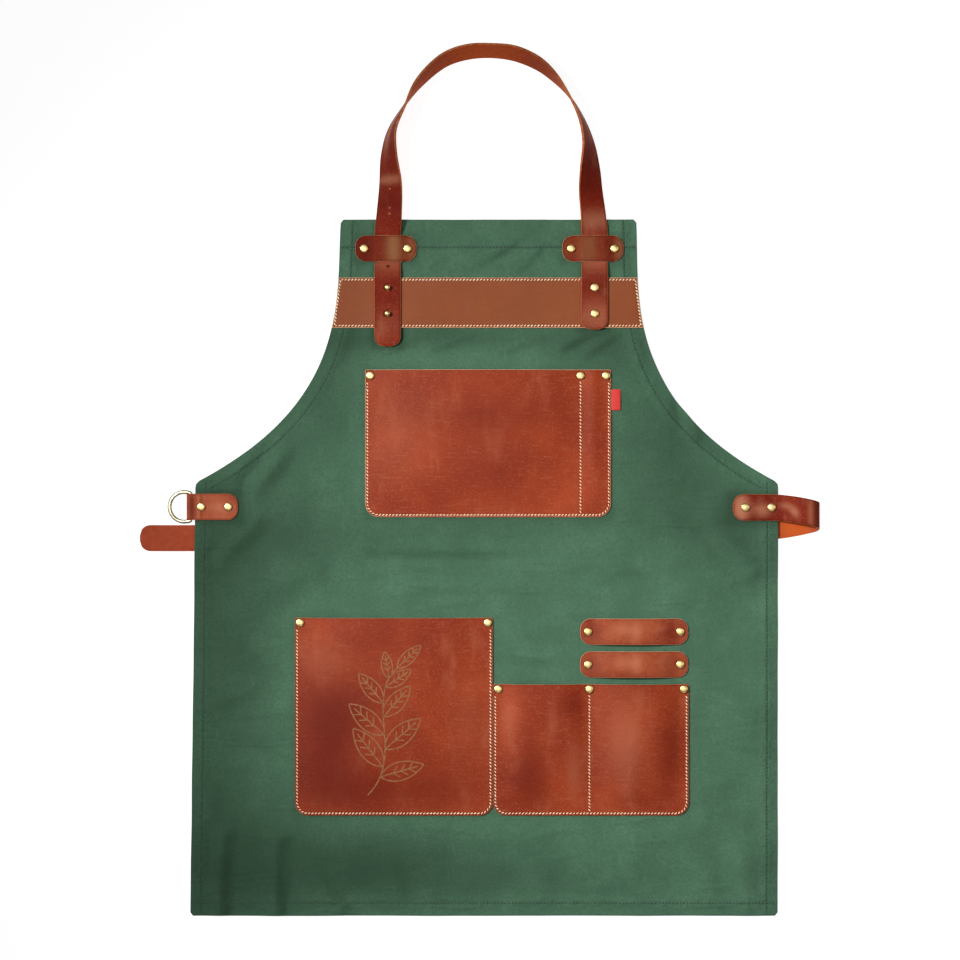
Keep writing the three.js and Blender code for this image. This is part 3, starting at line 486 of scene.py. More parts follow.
# Each fold: its two ends, from the middle and from the hem, its rise and its spread, all in mm. The
# rise is drawn half as high again, so that it still shows in this soft light.
FOLD_GAIN = 1.5
FOLDS = [
    (-246, 538, -275, 500, -1.5, 8), (-233, 532, -262, 494, 2.3, 12), (-275, 500, -284, 470, -1.2, 7),
    (-266, 452, -302, 420, 2.2, 12), (-281, 446, -316, 412, -1.3, 8), (-262, 560, -240, 590, 1.0, 14),
    (236, 600, 240, 556, 2.0, 11), (222, 596, 226, 560, -1.1, 8), (205, 640, 212, 600, 1.1, 12),
    (262, 448, 306, 398, 2.3, 13), (250, 440, 288, 396, -1.3, 9), (196, 520, 236, 500, 1.0, 14),
    (-64, 750, -20, 777, 0.8, 6), (-22, 746, 30, 772, 0.8, 6), (36, 744, 76, 780, 0.9, 6),
    (-52, 758, -12, 786, -0.6, 5), (12, 752, 58, 783, -0.6, 5), (-150, 746, -132, 784, 0.8, 7),
    (86, 655, 120, 673, 1.0, 6), (114, 647, 150, 671, 1.1, 6), (98, 650, 132, 668, -0.8, 5),
    (-64, 652, -20, 668, 0.8, 6), (16, 650, 62, 666, 0.8, 6), (-118, 648, -84, 664, 0.7, 6),
    (-133, 424, 40, 421, 0.8, 7), (-98, 377, 42, 379, 0.9, 7), (-98, 357, -18, 358, 0.7, 6),
    (-128, 411, 30, 410, -0.6, 6), (60, 405, 190, 398, 0.6, 9), (100, 372, 230, 365, 0.6, 10),
    (20, 290, 92, 276, -1.2, 9), (24, 304, 96, 292, 1.0, 9), (16, 322, 80, 332, 0.6, 9),
    (250, 262, 306, 236, 1.9, 9), (256, 246, 300, 224, -1.0, 7), (248, 226, 318, 190, 1.4, 11),
    (-312, 216, -262, 206, 1.0, 9), (-306, 250, -268, 262, 0.8, 10), (-320, 330, -276, 300, 0.9, 14),
    (-301, 90, -304, 8, 3.2, 11), (-288, 84, -291, 8, -1.6, 8), (-238, 84, -240, 8, 2.8, 11),
    (-226, 80, -227, 8, -1.4, 8), (-204, 56, -166, 10, 1.6, 9), (-110, 60, -100, 10, 0.9, 12),
    (-30, 56, -22, 8, 0.7, 14), (66, 60, 70, 8, 0.8, 14), (168, 62, 176, 8, 0.8, 13),
    (250, 76, 262, 8, 1.2, 13), (316, 360, 318, 70, 0.9, 15), (296, 120, 300, 10, 1.3, 12),
    (-318, 150, -316, 110, 1.0, 12), (-170, 640, -150, 700, 0.8, 10), (168, 690, 176, 640, 0.8, 10),
    (-20, 90, 60, 84, 0.5, 12), (150, 90, 230, 82, 0.5, 12), (-200, 392, -250, 380, 0.8, 12),
]

# What holds the cloth flat: left, bottom, right and top
loop_box = plan("tool_loop_upper")
HELD = [
    (-1.0, band_low.y, 1.0, band_high.y), plan("chest_pocket"), plan("tool_pocket"), plan("double_pocket"),
    (loop_box[0], plan("double_pocket")[3], *loop_box[2:]), plan("ring_tab"),
    (waist_high.x - mm(105), waist_low.y + mm(34), waist_high.x, waist_high.y),
    plan("strap_keeper_left"), plan("strap_keeper_right"),
]


def smooth(value, low, high):
    t = np.clip((value - low) / (high - low), 0, 1)
    return t * t * (3 - 2 * t)


def bell(away):
    return np.exp(-away ** 2)


def from_segment(x, y, start, end):
    """How far along a straight line the nearest place is, as a share, and how far off it lies."""
    (ax, ay), (dx, dy) = start, np.subtract(end, start)
    t = np.clip(((x - ax) * dx + (y - ay) * dy) / (dx * dx + dy * dy), 0, 1)
    return t, np.hypot(x - ax - t * dx, y - ay - t * dy)


def outside(x, y, box):
    left, bottom, right, top = box
    dx, dy = np.maximum(left - x, x - right), np.maximum(bottom - y, y - top)
    return np.hypot(np.maximum(dx, 0), np.maximum(dy, 0))


def fold_rise(x, y):
    rise = np.zeros_like(x)
    for x0, y0, x1, y1, height, width in FOLDS:
        t, away = from_segment(x - middle, y - hem_y, (mm(x0), mm(y0)), (mm(x1), mm(y1)))
        taper = 0.35 + 0.65 * np.sin(np.pi * np.clip(t, 0.08, 0.92)) ** 0.5
        rise += mm(FOLD_GAIN * height) * taper * bell(away / mm(width))
    return rise


def swell(x, y):
    """Low waves all over the cloth, each with its own heading and length."""
    rng = np.random.default_rng(11)
    total = np.zeros_like(x)
    for _ in range(14):
        angle, length, phase = rng.uniform(0, np.pi), rng.uniform(mm(45), mm(160)), rng.uniform(0, 6.28)
        along = (x * np.cos(angle) + y * np.sin(angle)) * 2 * np.pi / length
        total += np.sin(along + phase) * length * 0.0035
    return total


def freedom(x, y):
    """How free the cloth is to rise: not at all beside a piece that holds it, fully an inch away."""
    free = np.ones_like(x)
    for box in HELD:
        free *= smooth(outside(x, y, box), mm(3), mm(26))
    return free


def canvas_top(x, y):
    """The height of the cloth's face: low at the hem, then up to what lies under skirt and bib."""
    x, y = np.asarray(x, float), np.asarray(y, float)
    on_strap = smooth(y, tool_high.y + mm(8), waist_low.y + mm(2))
    to_bib = smooth(y, chest_high.y + mm(6), band_low.y - mm(8))
    foot = hem_top + (skirt_top - hem_top) * smooth(y, hem_y + HEM_FOOT, hem_y + mm(60))
    level = foot + (bib_top - foot) * to_bib
    level = level + (strap_top - level) * on_strap * (1 - to_bib)
    edge = half_width(y) - np.abs(x - middle_at(y))
    sag = smooth(y, waist_y + mm(30), waist_y + mm(70)) * (1 - smooth(y, chest_high.y, band_low.y - mm(5)))
    level = level - (strap_top - hem_top) * 0.7 * sag * (1 - smooth(edge, 0, mm(55)))
    lift = (fold_rise(x, y) + swell(x, y)) * freedom(x, y)
    return np.maximum(level + lift, canvas_low.z + 1.3 * CLOTH)


print("canvas face at the chest", round(float(canvas_top(0.0, chest_low.y + 0.05)) * 1000, 2), "mm up")

# %% [markdown]
# Distances to the hem stitches drive the puckers of the canvas and a painted shade along them, and place the
# stitches later.
# The armhole's stitches keep a fixed distance inside its curve, found by stepping off each point
# along its normal.

# %% Stitch lines of the hems
def unit(vectors):
    return vectors / np.linalg.norm(vectors, axis=1)[:, None]


def running(points, power=1.0):
    """The length from the first point up to each point."""
    return np.concatenate([[0], np.cumsum(np.linalg.norm(np.diff(points, axis=0), axis=1) ** power)])


step = unit(np.gradient(armhole, axis=0))
inside = np.stack([step[:, 1], -step[:, 0]], axis=1)
armhole_seam = armhole + inside * HEM_ARMHOLE
armhole_seam = armhole_seam[armhole_seam[:, 0] < half_width(armhole_seam[:, 1]) - mm(3)]
side_low = (SKIRT_HALF + FLARE - HEM_SIDE, hem_y)
side_high = (SKIRT_HALF - HEM_SIDE, waist_y + mm(1))
HEM_SEAMS = [
    np.array([(-SKIRT_HALF, hem_y + HEM_FOOT), (SKIRT_HALF, hem_y + HEM_FOOT)]),
    np.array([(-BIB_HALF + mm(1), bib_y - HEM_TOP), (BIB_HALF - mm(1), bib_y - HEM_TOP)]),
]
for sign in (-1, 1):
    mirror = np.array([sign, 1])
    HEM_SEAMS.append(np.array([side_low, side_high]) * mirror)
    HEM_SEAMS.append(armhole_seam[::8] * mirror)
for seam in HEM_SEAMS:
    seam[:, 0] += middle_at(seam[:, 1])


def seam_distance(x, y):
    nearest = np.full_like(x, 1.0)
    for seam in HEM_SEAMS:
        for start, end in zip(seam[:-1], seam[1:]):
            nearest = np.minimum(nearest, from_segment(x, y, start, end)[1])
    return nearest


print("hem seams", len(HEM_SEAMS))

# %% [markdown]
# Pieces share a few steps. A sheet starts as a flat grid whose points are moved to their places, then
# gets its thickness from a Solidify modifier and its rounded edges from a Bevel modifier. Both faces
# could be modelled, but then every fold would have to be made twice.

# %% Modelling helpers
def points_of(obj):
    flat = np.empty(len(obj.data.vertices) * 3)
    obj.data.vertices.foreach_get("co", flat)
    return flat.reshape(-1, 3)


def move_points(obj, points):
    obj.data.vertices.foreach_set("co", np.ascontiguousarray(points).ravel())
    obj.data.update()


def store(obj, name, values):
    layer = obj.data.attributes.new(name, "FLOAT", "POINT")
    layer.data.foreach_set("value", np.asarray(values, dtype=np.float32))


def flat_grid(name, across, along):
    pick()
    bpy.ops.mesh.primitive_grid_add(x_subdivisions=across, y_subdivisions=along, size=2, location=(0, 0, 0))
    obj = bpy.context.object
    obj.name = obj.data.name = name
    return obj


def use_modifier(obj, kind, **settings):
    pick(obj)
    modifier = obj.modifiers.new(kind.lower(), kind)
    for key, value in settings.items():
        setattr(modifier, key, value)
    bpy.ops.object.modifier_apply(modifier=modifier.name)


def tone_of(x, y, table):
    tone = np.zeros_like(x)
    for px, py, width, height, amount in table:
        tone += amount * bell(np.hypot((x - mm(px)) / mm(width), (y - mm(py)) / mm(height)))
    return np.clip(tone, 0, 1)


def stain(obj, x, y, tones, sheen_patches):
    # Painted shade goes in the tone attribute and painted sheen in the bloom attribute.
    store(obj, "tone", tone_of(x, y, tones))
    store(obj, "bloom_and_sheen", tone_of(x, y, sheen_patches))


def shade(obj, degrees=38):
    pick(obj)
    bpy.ops.object.shade_smooth_by_angle(angle=math.radians(degrees))


def dress(obj, *materials):
    for material in materials:
        obj.data.materials.append(material)


def finish_piece(obj, node):
    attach(obj, "root")
    if node:
        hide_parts(node)


def thicken(obj, thickness, edge, *materials):
    dress(obj, *materials)
    use_modifier(obj, "SOLIDIFY", thickness=thickness, offset=-1, material_offset=2, material_offset_rim=1,
                 use_quality_normals=True)
    use_modifier(obj, "BEVEL", width=edge, segments=2, limit_method="ANGLE", angle_limit=math.radians(50),
                 material=1, loop_slide=False)
    shade(obj)


print("helpers ready")

# %% [markdown]
# The canvas grid has a point every four millimetres, fine enough for its creases. Rows stretch to the
# outline, so its edge is as smooth as a knife would leave it, without cutting the grid. A vertex group
# tells the Solidify modifier that hems are double. Shade is painted into the cloth's colour: a table of
# soft patches where the lamps fall off, each with its middle from the hem's middle, its half width and
# height, all in mm, and its depth; a painted shadow close beside whatever lies on it; and a painted
# shade on the side of a crease that faces away from the lamp.

# %% Canvas body
CANVAS_SHADE = [
    (-310, 70, 100, 140, 0.5), (-335, 380, 95, 240, 0.55), (-120, 60, 160, 60, 0.5),
    (-190, 560, 70, 90, 0.35), (-60, 666, 150, 20, 0.5), (130, 655, 60, 34, 0.5), (205, 545, 80, 95, 0.6),
    (290, 440, 80, 60, 0.5), (0, 730, 200, 60, 0.25), (-175, 640, 40, 70, 0.36), (-140, 440, 160, 40, 0.2),
    (120, 40, 120, 30, 0.2), (60, 455, 130, 22, 0.3), (325, 50, 30, 60, 0.3), (-240, 425, 110, 75, 0.3),
    (-290, 290, 50, 90, 0.22), (-140, 50, 220, 45, 0.3), (-20, 415, 130, 50, 0.2),
]


def beside(x, y, boxes, reach):
    return np.max([bell(outside(x, y, box) / reach) for box in boxes], axis=0)


CELL = mm(4)
STRAP_SHADE, POCKET_SHADE, CREASE_SHADE = 0.32, 0.16, 0.34
NECK_WIDTH = mm(30)
FOOT_LEFT = mm(146)
FOOT_RIGHT = mm(126.5)
POCKETS, STRAPS = HELD[1:5], HELD[5:]
for name, foot in (("strap_stud_1", FOOT_LEFT), ("strap_rivet_1", FOOT_RIGHT)):
    across = (plan(name)[0] + plan(name)[2]) / 2
    STRAPS.append((across - NECK_WIDTH / 2, bib_y - foot, across + NECK_WIDTH / 2, bib_y))
rows = int((bib_y - hem_y) / CELL)
columns = int(2 * SKIRT_HALF / CELL)
canvas = flat_grid("canvas_cloth", columns, rows)
grid = points_of(canvas)
y = hem_y + (grid[:, 1] + 1) / 2 * (bib_y - hem_y)
x = middle_at(y) + grid[:, 0] * half_width(y)
out = np.abs(x - middle_at(y))
from_armhole = np.min([np.hypot(out - ax, y - ay) for ax, ay in armhole[::10]], axis=0)
in_hem = (y < hem_y + HEM_FOOT) | (half_width(y) - out < HEM_SIDE) | (y > bib_y - HEM_TOP)
in_hem |= from_armhole < HEM_ARMHOLE
move_points(canvas, np.stack([x, y, canvas_top(x, y)], axis=1))
store(canvas, "seam", seam_distance(x, y))
# Painted shade where the lamps fall off, and a painted shadow beside the straps and pockets.
tone = tone_of(x - middle, y - hem_y, CANVAS_SHADE)
tone += STRAP_SHADE * beside(x, y, STRAPS, mm(6)) + POCKET_SHADE * beside(x, y, POCKETS, mm(4.5))
# Painted shade on the side of each crease that faces away from the lamp.
turned_away = fold_rise(x - mm(3), y + mm(2)) - fold_rise(x, y)
tone += CREASE_SHADE * np.clip(turned_away / mm(1), 0, 1.5)
store(canvas, "tone", np.clip(tone, 0, 1))
dress(canvas, CANVAS)
group = canvas.vertex_groups.new(name="layers")
for index, double in enumerate(in_hem):
    group.add([index], 1.0 if double else 0.5, "REPLACE")
use_modifier(canvas, "SOLIDIFY", thickness=2 * CLOTH, offset=-1, vertex_group="layers",
             use_quality_normals=True)
use_modifier(canvas, "BEVEL", width=mm(0.5), segments=2, limit_method="ANGLE", angle_limit=math.radians(60))
shade(canvas, 60)
finish_piece(canvas, "canvas_body")
points = points_of(canvas)
points[:, 2] = np.maximum(points[:, 2], canvas_low.z)
move_points(canvas, points)
print("canvas", len(canvas.data.polygons), "faces")

# %% [markdown]
# A leather panel is cut from a hide with a knife, so it is a plane with its corners rounded by a
# vertex bevel. A subdivided plane would have no edges where the stitches run, so bisect cuts it into
# a grid, with lines beside the stitches that make a real groove. It is then raised onto the cloth,
# with its bulge, and gets its thickness.

# %% Leather panels
LEATHER = mm(2)
STITCH_INSET = mm(2.4)
GROOVE_DEPTH = mm(0.35)
GROOVE_HALF = mm(1)
TOP_ROUND = mm(2)


def edge_distance(x, y, box, round_top, round_bottom):
    """How far inside a box with rounded corners each place lies; less than nothing outside it."""
    left, bottom, right, top = box
    cx, cy = (left + right) / 2, (bottom + top) / 2
    radius = np.where(y > cy, round_top, round_bottom)
    dx = np.abs(x - cx) - (right - left) / 2 + radius
    dy = np.abs(y - cy) - (top - bottom) / 2 + radius
    outside = np.hypot(np.maximum(dx, 0), np.maximum(dy, 0))
    return -(outside + np.minimum(np.maximum(dx, dy), 0) - radius)


def cut_panel(name, box, round_top, round_bottom, cell, seams=True):
    """A plane of a box's size with rounded corners, bisected into cells and along its seams."""
    left, bottom, right, top = box
    pick()
    bpy.ops.mesh.primitive_plane_add(size=1, location=(0, 0, 0))
    panel = bpy.context.object
    panel.name = panel.data.name = name
    bpy.ops.object.mode_set(mode="EDIT")
    bpy.ops.transform.resize(value=(right - left, top - bottom, 1))
    bpy.ops.transform.translate(value=((left + right) / 2, (bottom + top) / 2, 0))
    for end, radius in ((top, round_top), (bottom, round_bottom)):
        if radius > 0:
            mesh = bmesh.from_edit_mesh(panel.data)
            bpy.ops.mesh.select_all(action="DESELECT")
            for vertex in mesh.verts:
                at_side = min(abs(vertex.co.x - left), abs(vertex.co.x - right)) < mm(0.01)
                vertex.select = at_side and abs(vertex.co.y - end) < mm(0.01)
            mesh.select_flush_mode()
            bmesh.update_edit_mesh(panel.data)
            bpy.ops.mesh.bevel(offset=radius, segments=8, affect="VERTICES")
    margins = [mm(1.1), STITCH_INSET, mm(4.0)] if seams else [mm(1.5)]
    for axis, low, high in ((0, left, right), (1, bottom, top)):
        count = max(2, round((high - low) / cell))
        places = [low + (high - low) * i / count for i in range(1, count)]
        places += [low + m for m in margins] + [high - m for m in margins]
        normal = (1, 0, 0) if axis == 0 else (0, 1, 0)
        for place in places:
            bpy.ops.mesh.select_all(action="SELECT")
            bpy.ops.mesh.bisect(plane_co=tuple(n * place for n in normal), plane_no=normal)
    bpy.ops.mesh.select_all(action="SELECT")
    bpy.ops.mesh.remove_doubles(threshold=mm(0.05))
    bpy.ops.object.mode_set(mode="OBJECT")
    x, y = points_of(panel)[:, :2].T
    store(panel, "inset", np.maximum(edge_distance(x, y, box, round_top, round_bottom), 0))
    return panel


def groove(distance):
    return bell(distance / GROOVE_HALF)


def mark_seams(panel, distance):
    # Painted shade in the stitch groove: the leather is darkened along each seam.
    store(panel, "stitched", bell(distance / mm(0.9)))


def raise_panel(panel, surface):
    points = points_of(panel)
    points[:, 2] = surface(points[:, 0], points[:, 1])
    move_points(panel, points)


def rivet_spots(prefix):
    boxes = [plan(name) for name in sorted(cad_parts) if name.startswith(prefix)]
    return [((left + right) / 2, (bottom + top) / 2) for left, bottom, right, top in boxes]


def dents(x, y, spots):
    depth = np.zeros_like(x)
    for sx, sy in spots:
        depth += mm(0.45) * bell(np.hypot(x - sx, y - sy) / mm(6.5))
    return depth


print("panel helpers ready")

# %% [markdown]
# The band is stitched flat all round, from edge to edge of the bib, so its ends slant with the
# armholes. It is a panel whose rows are drawn out to the bib's own width, and its middle is bare.

# %% Bib band
BAND_SHORT = mm(0.6)
band_top = band_high.z


def band_inset(x, y):
    return edge_distance(x, y, plan("bib_band"), 0, 0)


def band_surface(x, y):
    held = rivet_spots("strap_rivet") + rivet_spots("strap_stud")
    return band_top - GROOVE_DEPTH * groove(band_inset(x, y) - STITCH_INSET) - dents(x, y, held)


band = cut_panel("bib_band_leather", plan("bib_band"), 0, 0, mm(6))
raise_panel(band, band_surface)
points = points_of(band)
mark_seams(band, band_inset(points[:, 0], points[:, 1]) - STITCH_INSET)
reach = half_width(points[:, 1]) - BAND_SHORT
across = (points[:, 0] - (band_low.x + band_high.x) / 2) / ((band_high.x - band_low.x) / 2)
points[:, 0] = middle_at(points[:, 1]) + across * reach
move_points(band, points)
thicken(band, LEATHER, mm(0.5), BAND_LEATHER, CUT_EDGE, FLESH_SIDE)
finish_piece(band, "bib_band")
print("band", len(band.data.polygons), "faces")

# %% [markdown]
# A patch pocket is sewn flat along three sides. Between its rivets the mouth stands open a few
# millimetres, widest at the top and closing towards the bottom seam. A cloth simulation could find
# that bulge, but the same two curves, across and down, serve each room of each pocket. A room ends a
# margin from the box and another from the line that divides it. Two tables per pocket paint shade and
# sheen into the leather's colour, a darker one and a paler one: middle from the lower left corner, half
# width, half height, all in mm, and depth.

# %% Pockets
SEAM = mm(10)


def opening(x, y, box, rooms, bulge):
    left, bottom, right, top = box
    down = np.clip((top - y) / (top - bottom - SEAM), 0, 1)
    rise = np.zeros_like(x)
    for start, end in rooms:
        u = np.clip((x - start) / (end - start), 0, 1)
        rise += (1 - np.abs(2 * u - 1) ** 2.6) * (u > 0) * (u < 1) * min(1, (end - start) / mm(60))
    return bulge * rise * (1 - down ** 3)


def pocket(node, rounding, bulge, margin, dividers, waves, tones, sheen_patches):
    """Margins are from the box and from a divider; a wave has its two lengths, phase and height."""
    box = plan(node)
    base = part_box(node)[0].z + LEATHER
    spots = rivet_spots(node + "_rivet")
    edges = [box[0] + margin[0], *(line + side * margin[1] for line in dividers for side in (-1, 1)),
             box[2] - margin[0]]
    rooms = list(zip(edges[::2], edges[1::2]))

    def surface(x, y):
        inset = edge_distance(x, y, box, TOP_ROUND, rounding)
        seam = groove(inset - STITCH_INSET)
        for line in dividers:
            seam = np.maximum(seam, groove(x - line))
        seam = seam * (y < box[3] - mm(9))
        ripple = np.zeros_like(x)
        for wave_x, wave_y, phase, height in waves:
            ripple += mm(height) * np.sin(x / mm(wave_x) + y / mm(wave_y) + phase)
        lift = opening(x, y, box, rooms, bulge)
        ripple = ripple * smooth(inset, mm(6), mm(20)) * smooth(lift, 0, mm(1.5))
        return base + lift + ripple - GROOVE_DEPTH * seam - dents(x, y, spots)

    panel = cut_panel(node + "_leather", box, TOP_ROUND, rounding, mm(5))
    if dividers:
        pick(panel)
        bpy.ops.object.mode_set(mode="EDIT")
        for line in dividers:
            for offset in (mm(-1.6), 0, mm(1.6)):
                bpy.ops.mesh.select_all(action="SELECT")
                bpy.ops.mesh.bisect(plane_co=(line + offset, 0, 0), plane_no=(1, 0, 0))
        bpy.ops.object.mode_set(mode="OBJECT")
    raise_panel(panel, surface)
    x, y = points_of(panel)[:, :2].T
    inset = edge_distance(x, y, box, TOP_ROUND, rounding)
    panel.data.attributes["inset"].data.foreach_set("value", np.maximum(inset, 0).astype(np.float32))
    apart = np.min([np.abs(inset - STITCH_INSET)] + [np.abs(x - line) for line in dividers], axis=0)
    mark_seams(panel, apart + (y > box[3] - mm(12)))
    stain(panel, x - box[0], y - box[1], tones, sheen_patches)
    thicken(panel, LEATHER, mm(1.0), POCKET_LEATHER, CUT_EDGE, FLESH_SIDE)
    finish_piece(panel, node)
    print(panel.name, len(panel.data.polygons), "faces")
    return surface


chest_box, tool_box, double_box = plan("chest_pocket"), plan("tool_pocket"), plan("double_pocket")
pen_line = rivet_spots("chest_pocket_rivet")[1][0]
double_line = rivet_spots("double_pocket_rivet")[1][0]
# Each pocket's last two tables paint its shade and its sheen.
chest_surface = pocket(
    "chest_pocket", mm(16), mm(6.6), (SEAM, mm(5.7)), [pen_line],
    [(31, 90, 0.4, 0.25), (17, -40, 1.0, 0.12)],
    [(150, 60, 60, 110, 0.35), (262, 80, 16, 110, 0.12), (130, 120, 140, 25, 0.25)],
    [(40, 90, 45, 60, 0.25)])
tool_surface = pocket(
    "tool_pocket", mm(15), mm(7.6), (SEAM + mm(1), 0), [],
    [(34, 70, 1.4, 0.3), (15, -33, 0.2, 0.14)],
    [(40, 90, 45, 60, 0.7), (60, 25, 90, 35, 0.5), (170, 30, 60, 40, 0.4), (110, 205, 60, 20, 0.25),
     (60, 150, 90, 60, 0.3)],
    [(30, 180, 40, 30, 0.3), (200, 110, 25, 60, 0.25)])
double_surface = pocket(
    "double_pocket", mm(15), mm(7.0), (SEAM + mm(1), mm(6.7)), [double_line],
    [(24, 60, 2.2, 0.25), (13, -28, 0.6, 0.12)],
    [(43, 45, 30, 42, 0.6), (92, 128, 18, 24, 0.45), (202, 65, 18, 64, 0.5), (165, 20, 40, 18, 0.3),
     (40, 100, 12, 40, 0.25)],
    [(18, 110, 12, 34, 0.35), (68, 112, 7, 28, 0.35), (92, 50, 12, 38, 0.4), (150, 84, 28, 62, 0.48)])

# %% [markdown]
# Tool loops and keepers are the same cut: a strip with round ends and a rivet near each. A loop
# arches up between its rivets so that a shaft can pass, and a keeper arches over the neck strap,
# which runs a little to the right of the keeper's middle. One function makes all four, and is given
# the arch as a function of its own.

# %% Loops and keepers
ROUND_END = mm(12.5)
RIVET_SEAT = mm(5.2)
NECK_THICKNESS = mm(2.8)


def strip(node, arch, leather, tones, sheen_patches):
    left, bottom, right, top = plan(node)
    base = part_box(node)[0].z + LEATHER
    spots = rivet_spots(node + "_rivet")
    start, end = sorted(x for x, _ in spots)

    def surface(x, y):
        u = np.clip((x - start - RIVET_SEAT) / (end - start - 2 * RIVET_SEAT), 0, 1)
        return base + arch(u, x) - dents(x, y, spots)

    panel = cut_panel(node + "_leather", plan(node), ROUND_END, ROUND_END, mm(4), seams=False)
    raise_panel(panel, surface)
    x, y = points_of(panel)[:, :2].T
    stain(panel, x - (left + right) / 2, y - (bottom + top) / 2, tones, sheen_patches)
    thicken(panel, LEATHER, mm(1.0), leather, CUT_EDGE, FLESH_SIDE)
    finish_piece(panel, node)
    print(panel.name, len(panel.data.polygons), "faces")


def loop_arch(u, x):
    return mm(4.6) * (1 - np.abs(2 * u - 1) ** 2.4)


def keeper_arch(centre):
    def arch(u, x):
        off_strap = smooth(np.abs(x - centre), NECK_WIDTH / 2 + mm(0.4), NECK_WIDTH / 2 + mm(4.8))
        return (NECK_THICKNESS + GAP) * (1 - off_strap)
    return arch


# Painted shade at the loops' ends and painted sheen along their arch: middle from the loop's middle, half
# width, half height, all in mm, and depth.
LOOP_SHADE = [(-50, 0, 18, 20, 0.55), (44, 0, 22, 20, 0.5), (0, -14, 60, 6, 0.3)]
LOOP_SHEEN = [(-14, 2, 16, 9, 0.5), (3, 0, 7, 14, 0.45), (30, 4, 10, 5, 0.3)]
for node in ("tool_loop_upper", "tool_loop_lower"):
    strip(node, loop_arch, LOOP_LEATHER, LOOP_SHADE, LOOP_SHEEN)
stud_x, rivet_x = rivet_spots("strap_stud")[0][0], rivet_spots("strap_rivet")[0][0]
# The keepers' tables paint the shade and the sheen of their arch over the strap.
strip("strap_keeper_left", keeper_arch(stud_x), KEEPER_LEATHER, [(-22, 0, 14, 30, 0.85)],
      [(9, 0, 10, 30, 0.75), (30, 0, 8, 30, 0.45)])
strip("strap_keeper_right", keeper_arch(rivet_x), KEEPER_LEATHER, [(17, 0, 8, 30, 0.4)],
      [(-32, 0, 8, 30, 0.3), (-5, 0, 14, 30, 0.45), (31, 0, 8, 30, 0.5)])

# %% [markdown]
# A strap is a ribbon: a centre line, and at each place along it the direction of its width.
# A Curve modifier could bend a flat strip, but it can't turn the strip over as it goes, so the rows of
# a grid are set across the line one by one. Its ends are rounded by narrowing the last rows on a
# circle. The route is a list of chosen points, joined by a curve that passes through each of them.

# %% Straps
def blend(a, b, t, start, end):
    return ((end - t) * a + (t - start) * b) / (end - start)


def through(values, count):
    """A curve through each of these points, in three rounds of blending between neighbours."""
    values = np.asarray(values, float)
    knots = running(values[:, :3], 0.5)
    ends = np.vstack([2 * values[0] - values[1], values, 2 * values[-1] - values[-2]])
    times = np.concatenate([[2 * knots[0] - knots[1]], knots, [2 * knots[-1] - knots[-2]]])
    result = []
    for t in np.linspace(knots[0], knots[-1], count):
        i = min(max(np.searchsorted(times, t, side="right") - 1, 1), len(knots) - 1)
        four, at = ends[i - 1:i + 3], times[i - 1:i + 3]
        three = [blend(four[k], four[k + 1], t, at[k], at[k + 1]) for k in range(3)]
        two = [blend(three[k], three[k + 1], t, at[k], at[k + 2]) for k in range(2)]
        result.append(blend(*two, t, at[1], at[2]))
    return np.array(result)


def even(values, count):
    dense = through(values, 1200)
    length = running(dense[:, :3])
    where = np.linspace(0, length[-1], count)
    return np.stack([np.interp(where, length, column) for column in dense.T], axis=1), length[-1]


def ribbon(node, stations, width, thickness, side_of, rounding, rows=420, leather=STRAP_LEATHER,
           flesh=FLESH_SIDE, tones=(), sheen_patches=()):
    """A strap along its stations, its width turned to the side that side_of gives for each."""
    line, length = even(stations, rows + 1)
    tangent = unit(np.gradient(line[:, :3], axis=0))
    side = side_of(tangent, line)
    normal = unit(np.cross(side, tangent))
    strap = flat_grid(node + "_leather", 10, rows)
    grid = points_of(strap)
    row = np.clip(np.rint((grid[:, 1] + 1) / 2 * rows).astype(int), 0, rows)
    along = np.linspace(0, length, rows + 1)
    to_end = np.minimum(along, length - along)
    corner = np.clip(rounding - to_end, 0, rounding)
    half = width / 2 - rounding + np.sqrt(np.maximum(rounding ** 2 - corner ** 2, 0))
    offset = grid[:, 0] * half[row]
    points = line[row, :3] + side[row] * offset[:, None] + normal[row] * (thickness / 2)
    move_points(strap, points)
    inset = np.minimum(half[row] - np.abs(offset), to_end[row] + mm(0.1))
    store(strap, "inset", np.maximum(inset, 0))
    stain(strap, offset, along[row], tones, sheen_patches)
    pick(strap)
    bpy.ops.object.mode_set(mode="EDIT")
    bpy.ops.mesh.select_all(action="SELECT")
    bpy.ops.mesh.remove_doubles(threshold=mm(0.02))
    bpy.ops.object.mode_set(mode="OBJECT")
    if strap.data.polygons[0].normal.dot(Vector(normal[0])) < 0:
        strap.data.flip_normals()
    thicken(strap, thickness, mm(0.7), leather, STRAP_EDGE, flesh)
    finish_piece(strap, node)
    print(strap.name, round(length, 3), "m long,", len(strap.data.polygons), "faces")
    return strap


print("ribbon ready")

# %% [markdown]
# The neck strap is riveted on the right and held by two ball studs on the left. Between the keepers
# it runs out over the bib, turns up on its edge and leans outward, so that its flesh side shows at
# the top of the loop. The left end has punched holes: two wide ones round the studs, and smaller ones
# for other lengths, each cut by a cylinder, because a painted hole would show no depth. Those that are
# not in use have closed up and are shallow.

# %% Neck strap
NECK_REACH = mm(195)
STUD_HOLE = mm(4.5)
THROUGH = mm(50)
neck_middle, neck_half = (stud_x + rivet_x) / 2, (rivet_x - stud_x) / 2

